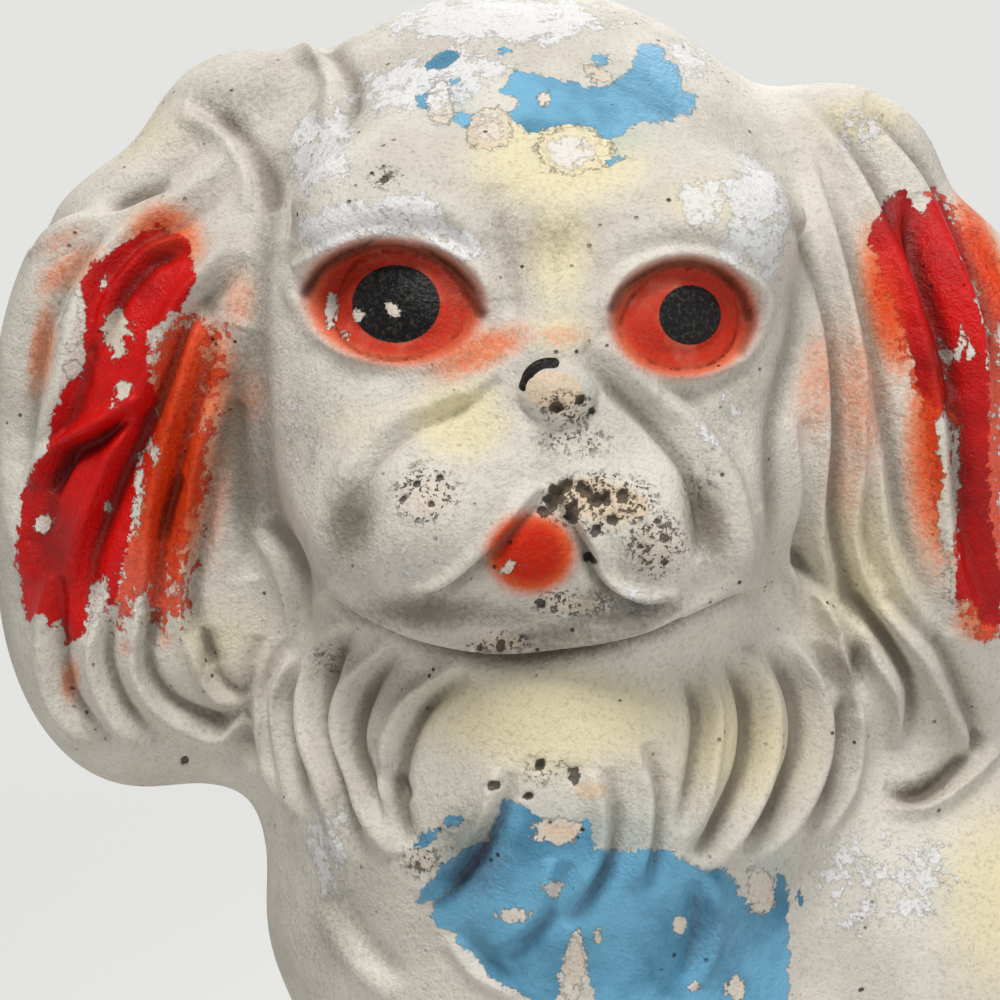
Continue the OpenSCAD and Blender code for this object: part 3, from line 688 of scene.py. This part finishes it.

# of these amounts, the shade wash is painted shade, the lid lines are painted shade under the upper lids, and
# the groove amount darkens the carved grooves by their depth
amounts = ("red", "orange", "blue", "chip", "pupil", "socket", "cream", "worn", "recessDark", "tongue", "bare",
           "lidShade", "hole", "paintedShade", "glow", "mist", "beige")


def lineOf(uv, path, wide):
    at = near(uv, path, wide * 3)
    out = np.zeros(len(uv))
    if len(at):
        gap, side, along = pathGap(uv[at], path)
        out[at] = np.exp(-(gap / wide) ** 2)
    return out


# soft or speckled washes: hardness, then middle, half sizes, turn and amount of each
washes = {
    "orange": (0.1, [
        ((170, 470), 66, 170, 0, 0.85), ((165, 240), 66, 60, 20, 0.7), ((70, 270), 76, 34, -35, 0.42),
        ((42, 350), 24, 90, 8, 0.5), ((200, 380), 70, 110, 0, 0.62), ((250, 395), 40, 60, 0, 0.33),
        ((70, 680), 18, 42, 0, 0.5), ((125, 648), 14, 20, 0, 0.3), ((165, 640), 14, 24, 0, 0.3),
        ((240, 300), 40, 60, 0, 0.35), ((60, 240), 60, 20, -30, 0.3), ((888, 300), 46, 130, -10, 0.75),
        ((860, 400), 60, 160, 0, 0.35), ((940, 450), 60, 190, 0, 0.75), ((985, 260), 30, 120, -20, 0.8),
        ((820, 380), 50, 120, 10, 0.35), ((975, 620), 40, 40, 0, 0.5), ((392, 304), 124, 88, 0, 0.62),
        ((480, 352), 100, 36, -24, 0.5), ((560, 335), 60, 24, 0, 0.3), ((684, 318), 96, 76, 0, 0.55),
        ((90, 430), 50, 60, 0, 0.3), ((845, 470), 46, 120, 0, 0.28), ((210, 470), 40, 150, 0, 0.4),
    ]),
    # painted shade: darker under the chin, in the pockets beside the jowls, along the face's left edge, under
    # the brows, on the ear tops and on the shaded sides of ears, ruff and body
    "paintedShade": (0, [
        ((350, 520), 46, 80, 8, 1.0), ((706, 520), 40, 84, -16, 1.0), ((540, 235), 120, 60, 0, 0.55),
        ((50, 545), 60, 110, 0, 0.8), ((255, 95), 120, 70, -20, 0.55), ((860, 120), 70, 50, 0, 0.4),
        ((330, 930), 70, 110, 0, 0.5), ((470, 850), 70, 90, 0, 0.85), ((430, 612), 130, 34, 0, 0.95),
        ((620, 615), 120, 26, -10, 0.8), ((560, 640), 200, 34, -6, 0.75), ((720, 930), 90, 90, 0, 0.4),
        ((330, 400), 60, 60, 0, 0.3), ((235, 420), 34, 150, 0, 0.7), ((480, 615), 150, 30, 0, 0.6),
        ((590, 600), 50, 40, 0, 0.7), ((350, 800), 50, 70, 0, 0.35), ((640, 560), 70, 60, 0, 0.5),
        ((310, 60), 40, 30, 0, 0.6), ((850, 660), 50, 60, 0, 0.6), ((920, 790), 60, 30, -30, 0.7),
        ((740, 400), 60, 90, 0, 0.35), ((310, 420), 60, 80, 0, 0.35), ((170, 520), 26, 40, 0, 0.6),
        ((210, 720), 60, 30, 0, 0.5), ((470, 450), 130, 90, 0, 0.25),
    ]),
    "cream": (0, [
        ((560, 160), 170, 90, 0, 1), ((560, 250), 60, 120, 0, 0.8), ((460, 420), 90, 70, 0, 1),
        ((560, 330), 60, 60, 0, 0.6), ((560, 720), 220, 90, 0, 1), ((360, 420), 90, 60, 0, 0.4),
        ((700, 200), 90, 50, 0, 0.7), ((130, 130), 120, 60, 0, 0.5), ((220, 640), 120, 120, 0, 0.5),
        ((860, 560), 120, 160, 0, 0.6), ((860, 120), 90, 50, 0, 0.6), ((1000, 900), 120, 200, 0, 0.7),
        ((740, 740), 140, 120, 0, 0.7),
    ]),
    "worn": (0.2, [
        ((430, 80), 170, 60, -12, 0.62), ((690, 60), 60, 40, 40, 0.55), ((330, 228), 70, 50, -10, 0.62),
        ((400, 215), 110, 44, 3, 0.62), ((455, 240), 60, 44, 20, 0.56), ((705, 205), 50, 56, -20, 0.6),
        ((755, 215), 66, 130, -8, 0.64), ((745, 250), 60, 50, 0, 0.58), ((320, 150), 70, 100, 15, 0.58),
        ((500, 20), 240, 50, 0, 0.66), ((570, 152), 56, 36, 0, 0.6), ((488, 130), 40, 40, 0, 0.55),
        ((300, 440), 50, 130, 0, 0.42), ((720, 420), 60, 90, 0, 0.45), ((880, 880), 170, 120, 0, 0.5),
        ((420, 560), 70, 60, 0, 0.45), ((640, 600), 80, 40, 0, 0.45), ((860, 130), 60, 60, 0, 0.5),
        ((120, 130), 70, 50, -40, 0.5), ((330, 850), 60, 120, 0, 0.5),
    ]),
    "bare": (0.1, [
        ((600, 503), 92, 48, 0, 0.95), ((425, 495), 62, 56, 0, 0.62), ((655, 545), 56, 58, 0, 0.66),
        ((570, 603), 80, 26, 0, 0.6), ((500, 642), 62, 20, 0, 0.66), ((565, 408), 50, 30, 0, 0.7),
        ((575, 440), 80, 40, 0, 0.45), ((545, 770), 50, 40, 0, 0.4), ((385, 178), 40, 26, 0, 0.42),
        ((330, 660), 60, 50, 0, 0.34), ((420, 860), 40, 40, 0, 0.5), ((700, 480), 60, 70, 0, 0.3),
    ]),
    "mist": (0, [
        ((600, 140), 130, 44, -8, 0.55), ((450, 100), 70, 50, 0, 0.4), ((640, 90), 70, 60, 0, 0.4),
        ((600, 835), 210, 60, 0, 0.5), ((470, 860), 60, 90, 0, 0.5), ((620, 910), 210, 110, 0, 0.6),
        ((770, 870), 50, 60, 0, 0.4),
    ]),
    "beige": (0.7, [
        ((554, 391), 34, 25, 6, 0.95), ((600, 500), 60, 22, 10, 0.95), ((590, 790), 20, 10, 0, 0.95),
        ((560, 832), 20, 9, 0, 0.95),
    ]),
}


def layPaint(obj, carved, pitted):
    co = coordsOf(obj)
    uv = pictureOf(co)
    a = {name: np.zeros(len(co)) for name in amounts}

    def lay(name, value):
        a[name] = np.maximum(a[name], value)

    for name, outline, soft in (
            ("red", "leftRed", 14), ("red", "rightRed", 14), ("glow", "leftOrange", 64),
            ("glow", "rightOrange", 50), ("blue", "forehead", 12), ("blue", "chest", 14)):
        lay(name, patchOf(uv, paint[outline], soft))
    for mid, wide, tall, turn in flecks:
        k = ovalGap(uv, mid, wide, tall, turn)
        lay("blue", np.clip(0.5 + (1 - k) * 0.04 * min(wide, tall), 0, 1))
    for name, (hard, rows) in washes.items():
        for mid, wide, tall, turn, amount in rows:
            lay(name, amount * blobOf(uv, mid, wide, tall, turn, hard))
    for eye in eyes.values():
        k = ovalGap(uv, eye["mid"], eye["wide"] * 1.14, eye["tall"] * 1.2, eye["turn"])
        lay("socket", 1 - smoothStep((k - 0.5) / 0.6))
        k = ovalGap(uv, eye["pupil"], eye["pupilWide"], eye["pupilTall"])
        lay("pupil", np.clip(0.5 + (1 - k) * 2.2, 0, 1))
    lay("pupil", lineOf(uv, nose["arc"], nose["arcWide"]))
    lay("tongue", blobOf(uv, tongue["paintMid"], tongue["paintWide"], tongue["paintTall"], 0, 0.25))
    for mid, wide, tall, turn in chips:
        k = ovalGap(uv, mid, wide, tall, turn)
        lay("chip", np.clip(0.5 + (1 - k) * min(0.9, 0.035 * min(wide, tall)), 0, 1))
    for path, wide, amount in lidShadeLines:
        lay("lidShade", amount * lineOf(uv, path, wide))
    lay("hole", np.clip(pitted / 0.7, 0, 1))
    # darker in the carved grooves, by their depth
    lay("recessDark", np.clip(carved / 2.2, 0, 1))
    for name in amounts:
        layer = obj.data.attributes.new(name, "FLOAT", "POINT")
        layer.data.foreach_set("value", a[name] * (co[:, 1] < 0))


layPaint(figure, carved, pitted)
print("paint laid")


# Cutting the clay into the pieces the figure is shown as
def bisectAt(obj, at, way):
    only(obj)
    bpy.ops.object.mode_set(mode="EDIT")
    bpy.ops.mesh.select_all(action="SELECT")
    bpy.ops.mesh.bisect(plane_co=at, plane_no=way)
    bpy.ops.object.mode_set(mode="OBJECT")


def takeFaces(obj, mask, name):
    only(obj)
    before = set(bpy.data.objects)
    bpy.ops.object.mode_set(mode="EDIT")
    bpy.ops.mesh.select_mode(type="FACE")
    selectFaces(obj, mask)
    bpy.ops.object.mode_set(mode="EDIT")
    bpy.ops.mesh.separate(type="SELECTED")
    bpy.ops.object.mode_set(mode="OBJECT")
    piece = (set(bpy.data.objects) - before).pop()
    piece.name = name
    piece.data.name = name
    return piece


def selectBorder():
    bpy.ops.mesh.select_mode(type="EDGE")
    bpy.ops.mesh.select_all(action="DESELECT")
    bpy.ops.mesh.select_non_manifold(extend=False, use_wire=False, use_boundary=True,
                                     use_multi_face=False, use_non_contiguous=False, use_verts=False)


# leaves edit mode and tells which vertices are selected
def chosenIn(obj):
    bpy.ops.object.mode_set(mode="OBJECT")
    chosen = np.zeros(len(obj.data.vertices), bool)
    obj.data.vertices.foreach_get("select", chosen)
    return chosen


closing = {"footTop": 14, "footIn": 2, "in": 7, "lowest": 0.6, "slopeLeast": 0.2}     # mm


# draws the open border in to one point inside, so that the piece is a closed skin
def closeAt(piece, point):
    only(piece)
    bpy.ops.object.mode_set(mode="EDIT")
    selectBorder()
    bpy.ops.mesh.mark_sharp()
    bpy.ops.mesh.extrude_edges_move()
    chosen = chosenIn(piece)
    co = coordsOf(piece)
    inward = slope(co[chosen] / mm)
    inward /= np.maximum(np.linalg.norm(inward, axis=1), closing["slopeLeast"])[:, None]
    reach = np.where(co[chosen, 2] < closing["footTop"] * mm, closing["footIn"], closing["in"])
    co[chosen] -= inward * reach[:, None] * mm
    co[chosen, 2] = np.maximum(co[chosen, 2], closing["lowest"] * mm)
    setCoords(piece, co)
    bpy.ops.object.mode_set(mode="EDIT")
    bpy.ops.mesh.extrude_edges_move()
    bpy.ops.mesh.select_mode(type="VERT")
    bpy.ops.mesh.merge(type="CENTER")
    for k in np.where(chosenIn(piece))[0]:
        piece.data.vertices[int(k)].co = Vector(point) * mm


# flat underside with the round recess of the closure
def makeUnderside(obj):
    only(obj)
    bpy.ops.object.mode_set(mode="EDIT")
    bpy.ops.mesh.select_all(action="SELECT")
    bpy.ops.mesh.bisect(plane_co=(0, 0, base["footCut"] * mm), plane_no=(0, 0, 1), clear_inner=True)
    selectBorder()
    seat = base["seat"] / 2
    for radius, height in ((None, 0), (seat, 0), (seat, base["seatDeep"]), (0, base["seatDeep"])):
        bpy.ops.mesh.extrude_edges_move()
        chosen = chosenIn(obj)
        co = coordsOf(obj)
        if radius is not None:
            out = np.maximum(np.hypot(co[chosen, 0], co[chosen, 1]), 1e-9)
            co[chosen, :2] *= (radius * mm / out)[:, None]
        co[chosen, 2] = height * mm
        setCoords(obj, co)
        bpy.ops.object.mode_set(mode="EDIT")
    bpy.ops.mesh.merge(type="CENTER")
    bpy.ops.object.mode_set(mode="OBJECT")


makeUnderside(figure)
seam = {"half": 0.4}
bisectAt(figure, (0, -seam["half"] * mm, 0), (0, 1, 0))
bisectAt(figure, (0, seam["half"] * mm, 0), (0, 1, 0))

cuts = [
    ("parting_line", lambda m: np.abs(m[:, 1]) < seam["half"], None),
    ("left_ear", lambda m: (m[:, 1] < 0) & (m[:, 0] < -60) & (m[:, 2] > 134), (-80, -4, 185)),
    ("right_ear", lambda m: (m[:, 1] < 0) & (m[:, 0] > 20) & (m[:, 2] > 148), (34, -4, 165)),
    ("crown", lambda m: (m[:, 1] < 0) & (m[:, 2] > 224), (-22, -3, 215)),
    ("face", lambda m: (m[:, 1] < 0) & (m[:, 2] > 148), (-22, -4, 170)),
    ("ruff", lambda m: (m[:, 1] < 0) & (m[:, 2] > 98), (-18, -4, 120)),
    ("forequarters", lambda m: m[:, 1] < 0, (0, -4, 12)),
    ("nape", lambda m: m[:, 2] > 134, (-22, 4, 190)),
]
pieces = {}
for name, test, point in cuts:
    pieces[name] = takeFaces(figure, test(faceMids(figure) / mm), name)
    print(name, len(pieces[name].data.polygons), "faces")
figure.name = "back"
figure.data.name = "back"
pieces["back"] = figure
print("back", len(figure.data.polygons), "faces")
for name, test, point in cuts[1:] + [("back", None, (0, 4, 12))]:
    closeAt(pieces[name], point)


# Looks
def rgb(r, g, b):
    return tuple((c / 255 / 12.92 if c / 255 < 0.04045 else ((c / 255 + 0.055) / 1.055) ** 2.4)
                 for c in (r, g, b)) + (1.0,)


def addNode(tree, kind, settings=None, inputs=None):
    node = tree.nodes.new(kind)
    for key, value in (settings or {}).items():
        setattr(node, key, value)
    for key, value in (inputs or {}).items():
        socket = node.inputs[key]
        if hasattr(value, "links"):
            tree.links.new(value, socket)
        else:
            socket.default_value = value
    return node


def noiseOf(tree, where, scale, detail=4.0, rough=0.55):
    return addNode(tree, "ShaderNodeTexNoise", None,
                   {"Vector": where, "Scale": scale, "Detail": detail, "Roughness": rough}).outputs["Fac"]


def mathOf(tree, how, first, second=0.5, third=0.5):
    return addNode(tree, "ShaderNodeMath", {"operation": how}, {0: first, 1: second, 2: third}).outputs[0]


def rampOf(tree, value, low, high):
    return addNode(tree, "ShaderNodeMapRange", {"interpolation_type": "SMOOTHSTEP"},
                   {"Value": value, "From Min": low, "From Max": high}).outputs["Result"]


def mixOf(tree, amount, under, over):
    given = {0: amount, 6: under, 7: over}      # the sockets of a colour mix
    return addNode(tree, "ShaderNodeMix", {"data_type": "RGBA"}, given).outputs[2]


def amountOf(tree, name):
    return addNode(tree, "ShaderNodeAttribute", {"attribute_name": name}).outputs["Fac"]


# plaster surface: a fine grain, brush and mould unevenness, and small air holes
def makeGrain():
    group = bpy.data.node_groups.new("plasterGrain", "ShaderNodeTree")
    group.interface.new_socket("Vector", in_out="INPUT", socket_type="NodeSocketVector")
    for name in ("Height", "Speckle", "Mottle", "Pepper"):
        group.interface.new_socket(name, in_out="OUTPUT", socket_type="NodeSocketFloat")
    where = addNode(group, "NodeGroupInput").outputs["Vector"]
    fine = noiseOf(group, where, 2400.0, 3.0, 0.65)
    middle = noiseOf(group, where, 620.0, 4.0, 0.6)
    wide = noiseOf(group, where, 150.0, 4.0, 0.55)
    cells = addNode(group, "ShaderNodeTexVoronoi", {"feature": "F1"}, {"Vector": where, "Scale": 420.0})
    sparse = rampOf(group, noiseOf(group, where, 110.0, 3.0), 0.56, 0.66)
    hole = mathOf(group, "MULTIPLY", rampOf(group, cells.outputs["Distance"], 0.15, 0.06), sparse)
    height = mathOf(group, "MULTIPLY_ADD", fine, 0.4, mathOf(group, "MULTIPLY", middle, 0.5))
    height = mathOf(group, "MULTIPLY_ADD", wide, 2.4, height)
    height = mathOf(group, "MULTIPLY_ADD", hole, -0.9, height)
    out = addNode(group, "NodeGroupOutput")
    group.links.new(height, out.inputs["Height"])
    group.links.new(hole, out.inputs["Speckle"])
    group.links.new(noiseOf(group, where, 55.0, 7.0, 0.6), out.inputs["Mottle"])
    group.links.new(rampOf(group, noiseOf(group, where, 1500.0, 3.0, 0.7), 0.48, 0.72), out.inputs["Pepper"])
    return group


# a paint layer with a broken edge, from an amount that is a half at its outline
def makeRagged():
    group = bpy.data.node_groups.new("raggedEdge", "ShaderNodeTree")
    group.interface.new_socket("Vector", in_out="INPUT", socket_type="NodeSocketVector")
    group.interface.new_socket("Amount", in_out="INPUT", socket_type="NodeSocketFloat")
    group.interface.new_socket("Mask", in_out="OUTPUT", socket_type="NodeSocketFloat")
    given = addNode(group, "NodeGroupInput").outputs
    coarse = noiseOf(group, given["Vector"], 210.0, 7.0, 0.75)
    flecks = noiseOf(group, given["Vector"], 800.0, 4.0, 0.7)
    moved = mathOf(group, "MULTIPLY_ADD", mathOf(group, "SUBTRACT", coarse, 0.5), 1.0, given["Amount"])
    moved = mathOf(group, "MULTIPLY_ADD", mathOf(group, "SUBTRACT", flecks, 0.5), 0.7, moved)
    out = addNode(group, "NodeGroupOutput")
    group.links.new(rampOf(group, moved, 0.47, 0.53), out.inputs["Mask"])
    return group


grainGroup = makeGrain()
raggedGroup = makeRagged()


def useGroup(tree, group, inputs):
    node = addNode(tree, "ShaderNodeGroup", {"node_tree": group})
    for key, value in inputs.items():
        tree.links.new(value, node.inputs[key])
    return node.outputs


def newMaterial(name):
    material = bpy.data.materials.new(name)
    material.use_nodes = True
    tree = material.node_tree
    surface = tree.nodes["Principled BSDF"]
    where = addNode(tree, "ShaderNodeTexCoord").outputs["Object"]
    return material, tree, surface, where


def finishMaterial(tree, surface, color, rough, height, depth):
    bump = addNode(tree, "ShaderNodeBump", None, {"Height": height, "Distance": depth, "Strength": 1.0})
    tree.links.new(bump.outputs["Normal"], surface.inputs["Normal"])
    tree.links.new(color, surface.inputs["Base Color"])
    tree.links.new(rough, surface.inputs["Roughness"])


grainDeep = 0.0004      # metres
# the grey-brown grime tone serves both as painted shade and as grime; the deep dark tone is painted shade
# over paint and darkens grooves on paint; the lid tone is painted shade under the upper lids
tones = {
    "plaster": rgb(214, 209, 199), "grey": rgb(195, 189, 179), "cream": rgb(224, 213, 176),
    "worn": rgb(222, 223, 226), "bare": rgb(214, 194, 170), "recessDark": rgb(50, 42, 34),
    "darkOnPaint": rgb(58, 20, 16), "mist": rgb(124, 160, 166), "shadeAndGrime": rgb(104, 95, 82),
    "orange": rgb(214, 66, 16), "salmon": rgb(222, 146, 108), "red": rgb(196, 8, 6),
    "deepRed": rgb(128, 5, 6), "flame": rgb(196, 34, 8), "blue": rgb(106, 166, 198),
    "deepBlue": rgb(62, 118, 146), "black": rgb(9, 9, 11), "tongue": rgb(190, 34, 3),
    "ember": rgb(214, 92, 44), "lidShade": rgb(74, 28, 16), "sclera": rgb(182, 44, 22),
    "blush": rgb(206, 118, 94),
}


def makePainted():
    material, tree, surface, where = newMaterial("paintedPlaster")
    grain = useGroup(tree, grainGroup, {"Vector": where})
    fine = mathOf(tree, "SUBTRACT", noiseOf(tree, where, 1300.0, 4.0, 0.75), 0.5)

    def times(one, other):
        return mathOf(tree, "MULTIPLY", one, other)

    def larger(one, other):
        return mathOf(tree, "MAXIMUM", one, other)

    def plus(one, share, other):
        return mathOf(tree, "MULTIPLY_ADD", one, share, other)

    def sprayed(name, share):
        return plus(fine, share, amountOf(tree, name))

    def ragged(name):
        return useGroup(tree, raggedGroup, {"Vector": where, "Amount": amountOf(tree, name)})["Mask"]

    def over(color, amount, tone, share=1.0):
        if share < 1:
            amount = times(amount, share)
        return mixOf(tree, amount, color, tone)

    def ramp(value, low, high):
        return rampOf(tree, value, low, high)

    def noise(*given):
        return noiseOf(tree, where, *given)

    # old plaster: grey and cream places, worn white ones and the plaster under the paint
    mottle = ramp(grain["Mottle"], 0.36, 0.68)
    color = over(tones["plaster"], mottle, tones["grey"])
    cream = plus(noise(60.0), 0.6, amountOf(tree, "cream"))
    color = over(color, ramp(cream, 0.35, 1.15), tones["cream"], 0.9)
    worn = ragged("worn")
    color = over(color, worn, tones["worn"], 0.72)
    ground = over(color, mottle, tones["bare"], 0.6)
    # sprayed colours: soft and speckled
    # painted shade: the shade wash laid over the plaster in a grey-brown tone
    paintedShade = ramp(sprayed("paintedShade", 0.9), 0.1, 1.0)
    color = over(color, paintedShade, tones["shadeAndGrime"], 0.85)
    color = over(color, ramp(sprayed("mist", 0.5), 0.05, 0.9), tones["mist"], 0.7)
    spray = sprayed("orange", 0.55)
    color = over(color, ramp(spray, 0.08, 0.55), tones["salmon"])
    color = over(color, ramp(spray, 0.3, 0.85), tones["orange"])
    socket = sprayed("socket", 0.2)
    color = over(color, ramp(socket, 0.02, 0.5), tones["ember"], 0.9)
    scleraTone = over(tones["sclera"], ramp(noise(120.0, 4.0), 0.5, 0.8), tones["blush"])
    color = over(color, ramp(socket, 0.3, 0.85), scleraTone)
    # painted shade along and under the upper lids, in a dark red-brown
    color = over(color, ramp(amountOf(tree, "lidShade"), 0.15, 0.95), tones["lidShade"], 0.9)
    tongueTip = sprayed("tongue", 0.3)
    color = over(color, ramp(tongueTip, 0.02, 0.6), tones["ember"])
    color = over(color, ramp(tongueTip, 0.35, 0.95), tones["tongue"])
    # brushed colours, with broken edges
    glow = ragged("glow")
    color = over(color, glow, over(tones["orange"], ramp(fine, -0.1, 0.2), tones["flame"]), 0.92)
    red = ragged("red")
    redTone = over(tones["red"], ramp(noise(50.0), 0.45, 0.75), tones["deepRed"])
    color = over(color, red, over(redTone, ramp(spray, 0.45, 1.0), tones["orange"], 0.7))
    blue = ragged("blue")
    color = over(color, blue, over(tones["blue"], ramp(noise(70.0), 0.4, 0.7), tones["deepBlue"]))
    # painted shade carried on over the red and blue paint, in a deep dark tone
    color = over(color, times(paintedShade, larger(red, blue)), tones["darkOnPaint"], 0.6)
    pupil = ramp(amountOf(tree, "pupil"), 0.46, 0.54)
    color = over(color, pupil, tones["black"])
    # chips down to the plaster
    chip = ragged("chip")
    color = over(color, chip, ground)
    color = over(color, ragged("bare"), tones["bare"], 0.4)
    color = over(color, ragged("beige"), tones["bare"])
    # darker in the carved grooves, by their depth, and in the holes and pores; a grey pepper over the worn
    # plaster
    paintAny = larger(larger(red, glow), blue)
    recessDark = ramp(sprayed("recessDark", 0.6), 0.2, 1.0)
    onPlaster = over(color, recessDark, tones["shadeAndGrime"], 0.76)
    color = over(onPlaster, paintAny, over(color, recessDark, tones["darkOnPaint"], 0.7))
    pores = larger(ramp(noise(700.0, 4.0, 0.7), 0.56, 0.61), ramp(noise(1700.0, 3.0, 0.6), 0.58, 0.64))
    porous = times(ramp(sprayed("bare", 0.5), 0.2, 0.55), pores)
    hole = ramp(plus(noise(900.0, 4.0, 0.7), 1.1, amountOf(tree, "hole")), 0.86, 1.12)
    dark = larger(larger(porous, hole), grain["Speckle"])
    color = over(color, dark, tones["recessDark"], 0.85)
    color = over(color, times(grain["Pepper"], plus(paintAny, -0.75, 1.0)), tones["shadeAndGrime"], 0.3)
    # paint is smoother than plaster, and the eyes are glossy
    rough = plus(paintAny, -0.24, 0.66)
    rough = plus(mathOf(tree, "SUBTRACT", grain["Mottle"], 0.5), 0.25, rough)
    rough = plus(pupil, -0.4, rough)
    rough = plus(ramp(socket, 0.4, 0.9), -0.12, rough)
    height = plus(chip, -0.7, grain["Height"])
    height = plus(paintAny, 0.3, height)
    height = plus(dark, -1.2, height)
    height = plus(worn, 0.25, height)
    tree.links.new(plus(paintAny, 0.06, 0.14), surface.inputs["Specular IOR Level"])
    finishMaterial(tree, surface, color, rough, height, grainDeep)
    return material


def makePlain(name, light, dark):
    material, tree, surface, where = newMaterial(name)
    grain = useGroup(tree, grainGroup, {"Vector": where})
    color = mixOf(tree, rampOf(tree, grain["Mottle"], 0.35, 0.68), light, dark)
    color = mixOf(tree, mathOf(tree, "MULTIPLY", grain["Speckle"], 0.6), color, tones["recessDark"])
    rough = mathOf(tree, "MULTIPLY_ADD", grain["Mottle"], 0.3, 0.55)
    finishMaterial(tree, surface, color, rough, grain["Height"], grainDeep)
    return material


painted = makePainted()
barePlaster = makePlain("barePlaster", tones["bare"], tones["grey"])


def smoothLook(piece, material):
    only(piece)
    bpy.ops.object.shade_smooth()
    piece.data.materials.clear()
    piece.data.materials.append(material)


for name, piece in pieces.items():
    smoothLook(piece, painted)
    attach(piece, "root")
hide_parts("seam_slip")
for name in ("left_ear", "right_ear", "crown", "face", "ruff", "forequarters"):
    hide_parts("front_casting")
for name in ("nape", "back"):
    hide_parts("rear_casting")
closure = bpy.data.objects["base_closure"]
closure.data.materials.clear()
closure.data.materials.append(barePlaster)
print("pieces ready")


# Studio: a pale floor and sky and soft lights
litPoint = (-0.02, 0, 0.18)


def makeLight(name, at, size, power, color):
    data = bpy.data.lights.new(name, "AREA")
    data.size = size
    data.energy = power
    data.color = color
    lamp = bpy.data.objects.new(name, data)
    bpy.context.scene.collection.objects.link(lamp)
    lamp.location = at
    toward = Vector(litPoint) - Vector(at)
    lamp.rotation_euler = toward.to_track_quat("-Z", "Y").to_euler()


makeLight("keySoft", (-0.14, -0.5, 1.05), 0.4, 9.8, (1.0, 0.985, 0.96))
makeLight("fillSoft", (0.75, -0.7, 0.4), 0.6, 2.5, (0.95, 0.97, 1.0))
makeLight("backSoft", (0.1, 0.8, 0.8), 0.6, 5, (1.0, 1.0, 1.0))

deselectAll()
bpy.ops.mesh.primitive_plane_add(size=4, location=(0, 0, 0))
floor = bpy.context.object
floor.name = "floor"
material, tree, surface, where = newMaterial("paleFloor")
surface.inputs["Base Color"].default_value = rgb(226, 226, 224)
surface.inputs["Roughness"].default_value = 0.7
# far from the figure the floor passes into the pale backdrop, for the camera only
paleTone = rgb(228, 228, 226)
fadeFrom = (0.22, 0.8)      # metres from the middle


def seenRay(tree):
    rays = addNode(tree, "ShaderNodeLightPath").outputs
    seen = mathOf(tree, "MAXIMUM", rays["Is Camera Ray"], rays["Is Glossy Ray"])
    return mathOf(tree, "MAXIMUM", seen, rays["Is Transmission Ray"])


away = addNode(tree, "ShaderNodeVectorMath", {"operation": "LENGTH"}, {"Vector": where}).outputs["Value"]
away = mathOf(tree, "MULTIPLY", rampOf(tree, away, *fadeFrom), seenRay(tree))
backdrop = addNode(tree, "ShaderNodeEmission", None, {"Color": paleTone, "Strength": 1.0})
blended = addNode(tree, "ShaderNodeMixShader", None, {0: away, 1: surface.outputs[0], 2: backdrop.outputs[0]})
tree.links.new(blended.outputs[0], tree.nodes["Material Output"].inputs["Surface"])
floor.data.materials.append(material)

world = bpy.data.worlds.new("paleRoom")
bpy.context.scene.world = world
world.use_nodes = True
skyLight = 0.22      # strength on the object; the camera sees a strength of 1
sky = world.node_tree.nodes["Background"].inputs
sky["Color"].default_value = paleTone
seen = seenRay(world.node_tree)
dim = addNode(world.node_tree, "ShaderNodeMapRange", None, {"Value": seen, "To Min": skyLight})
world.node_tree.links.new(dim.outputs[0], sky["Strength"])
bpy.context.scene.view_settings.view_transform = "Standard"
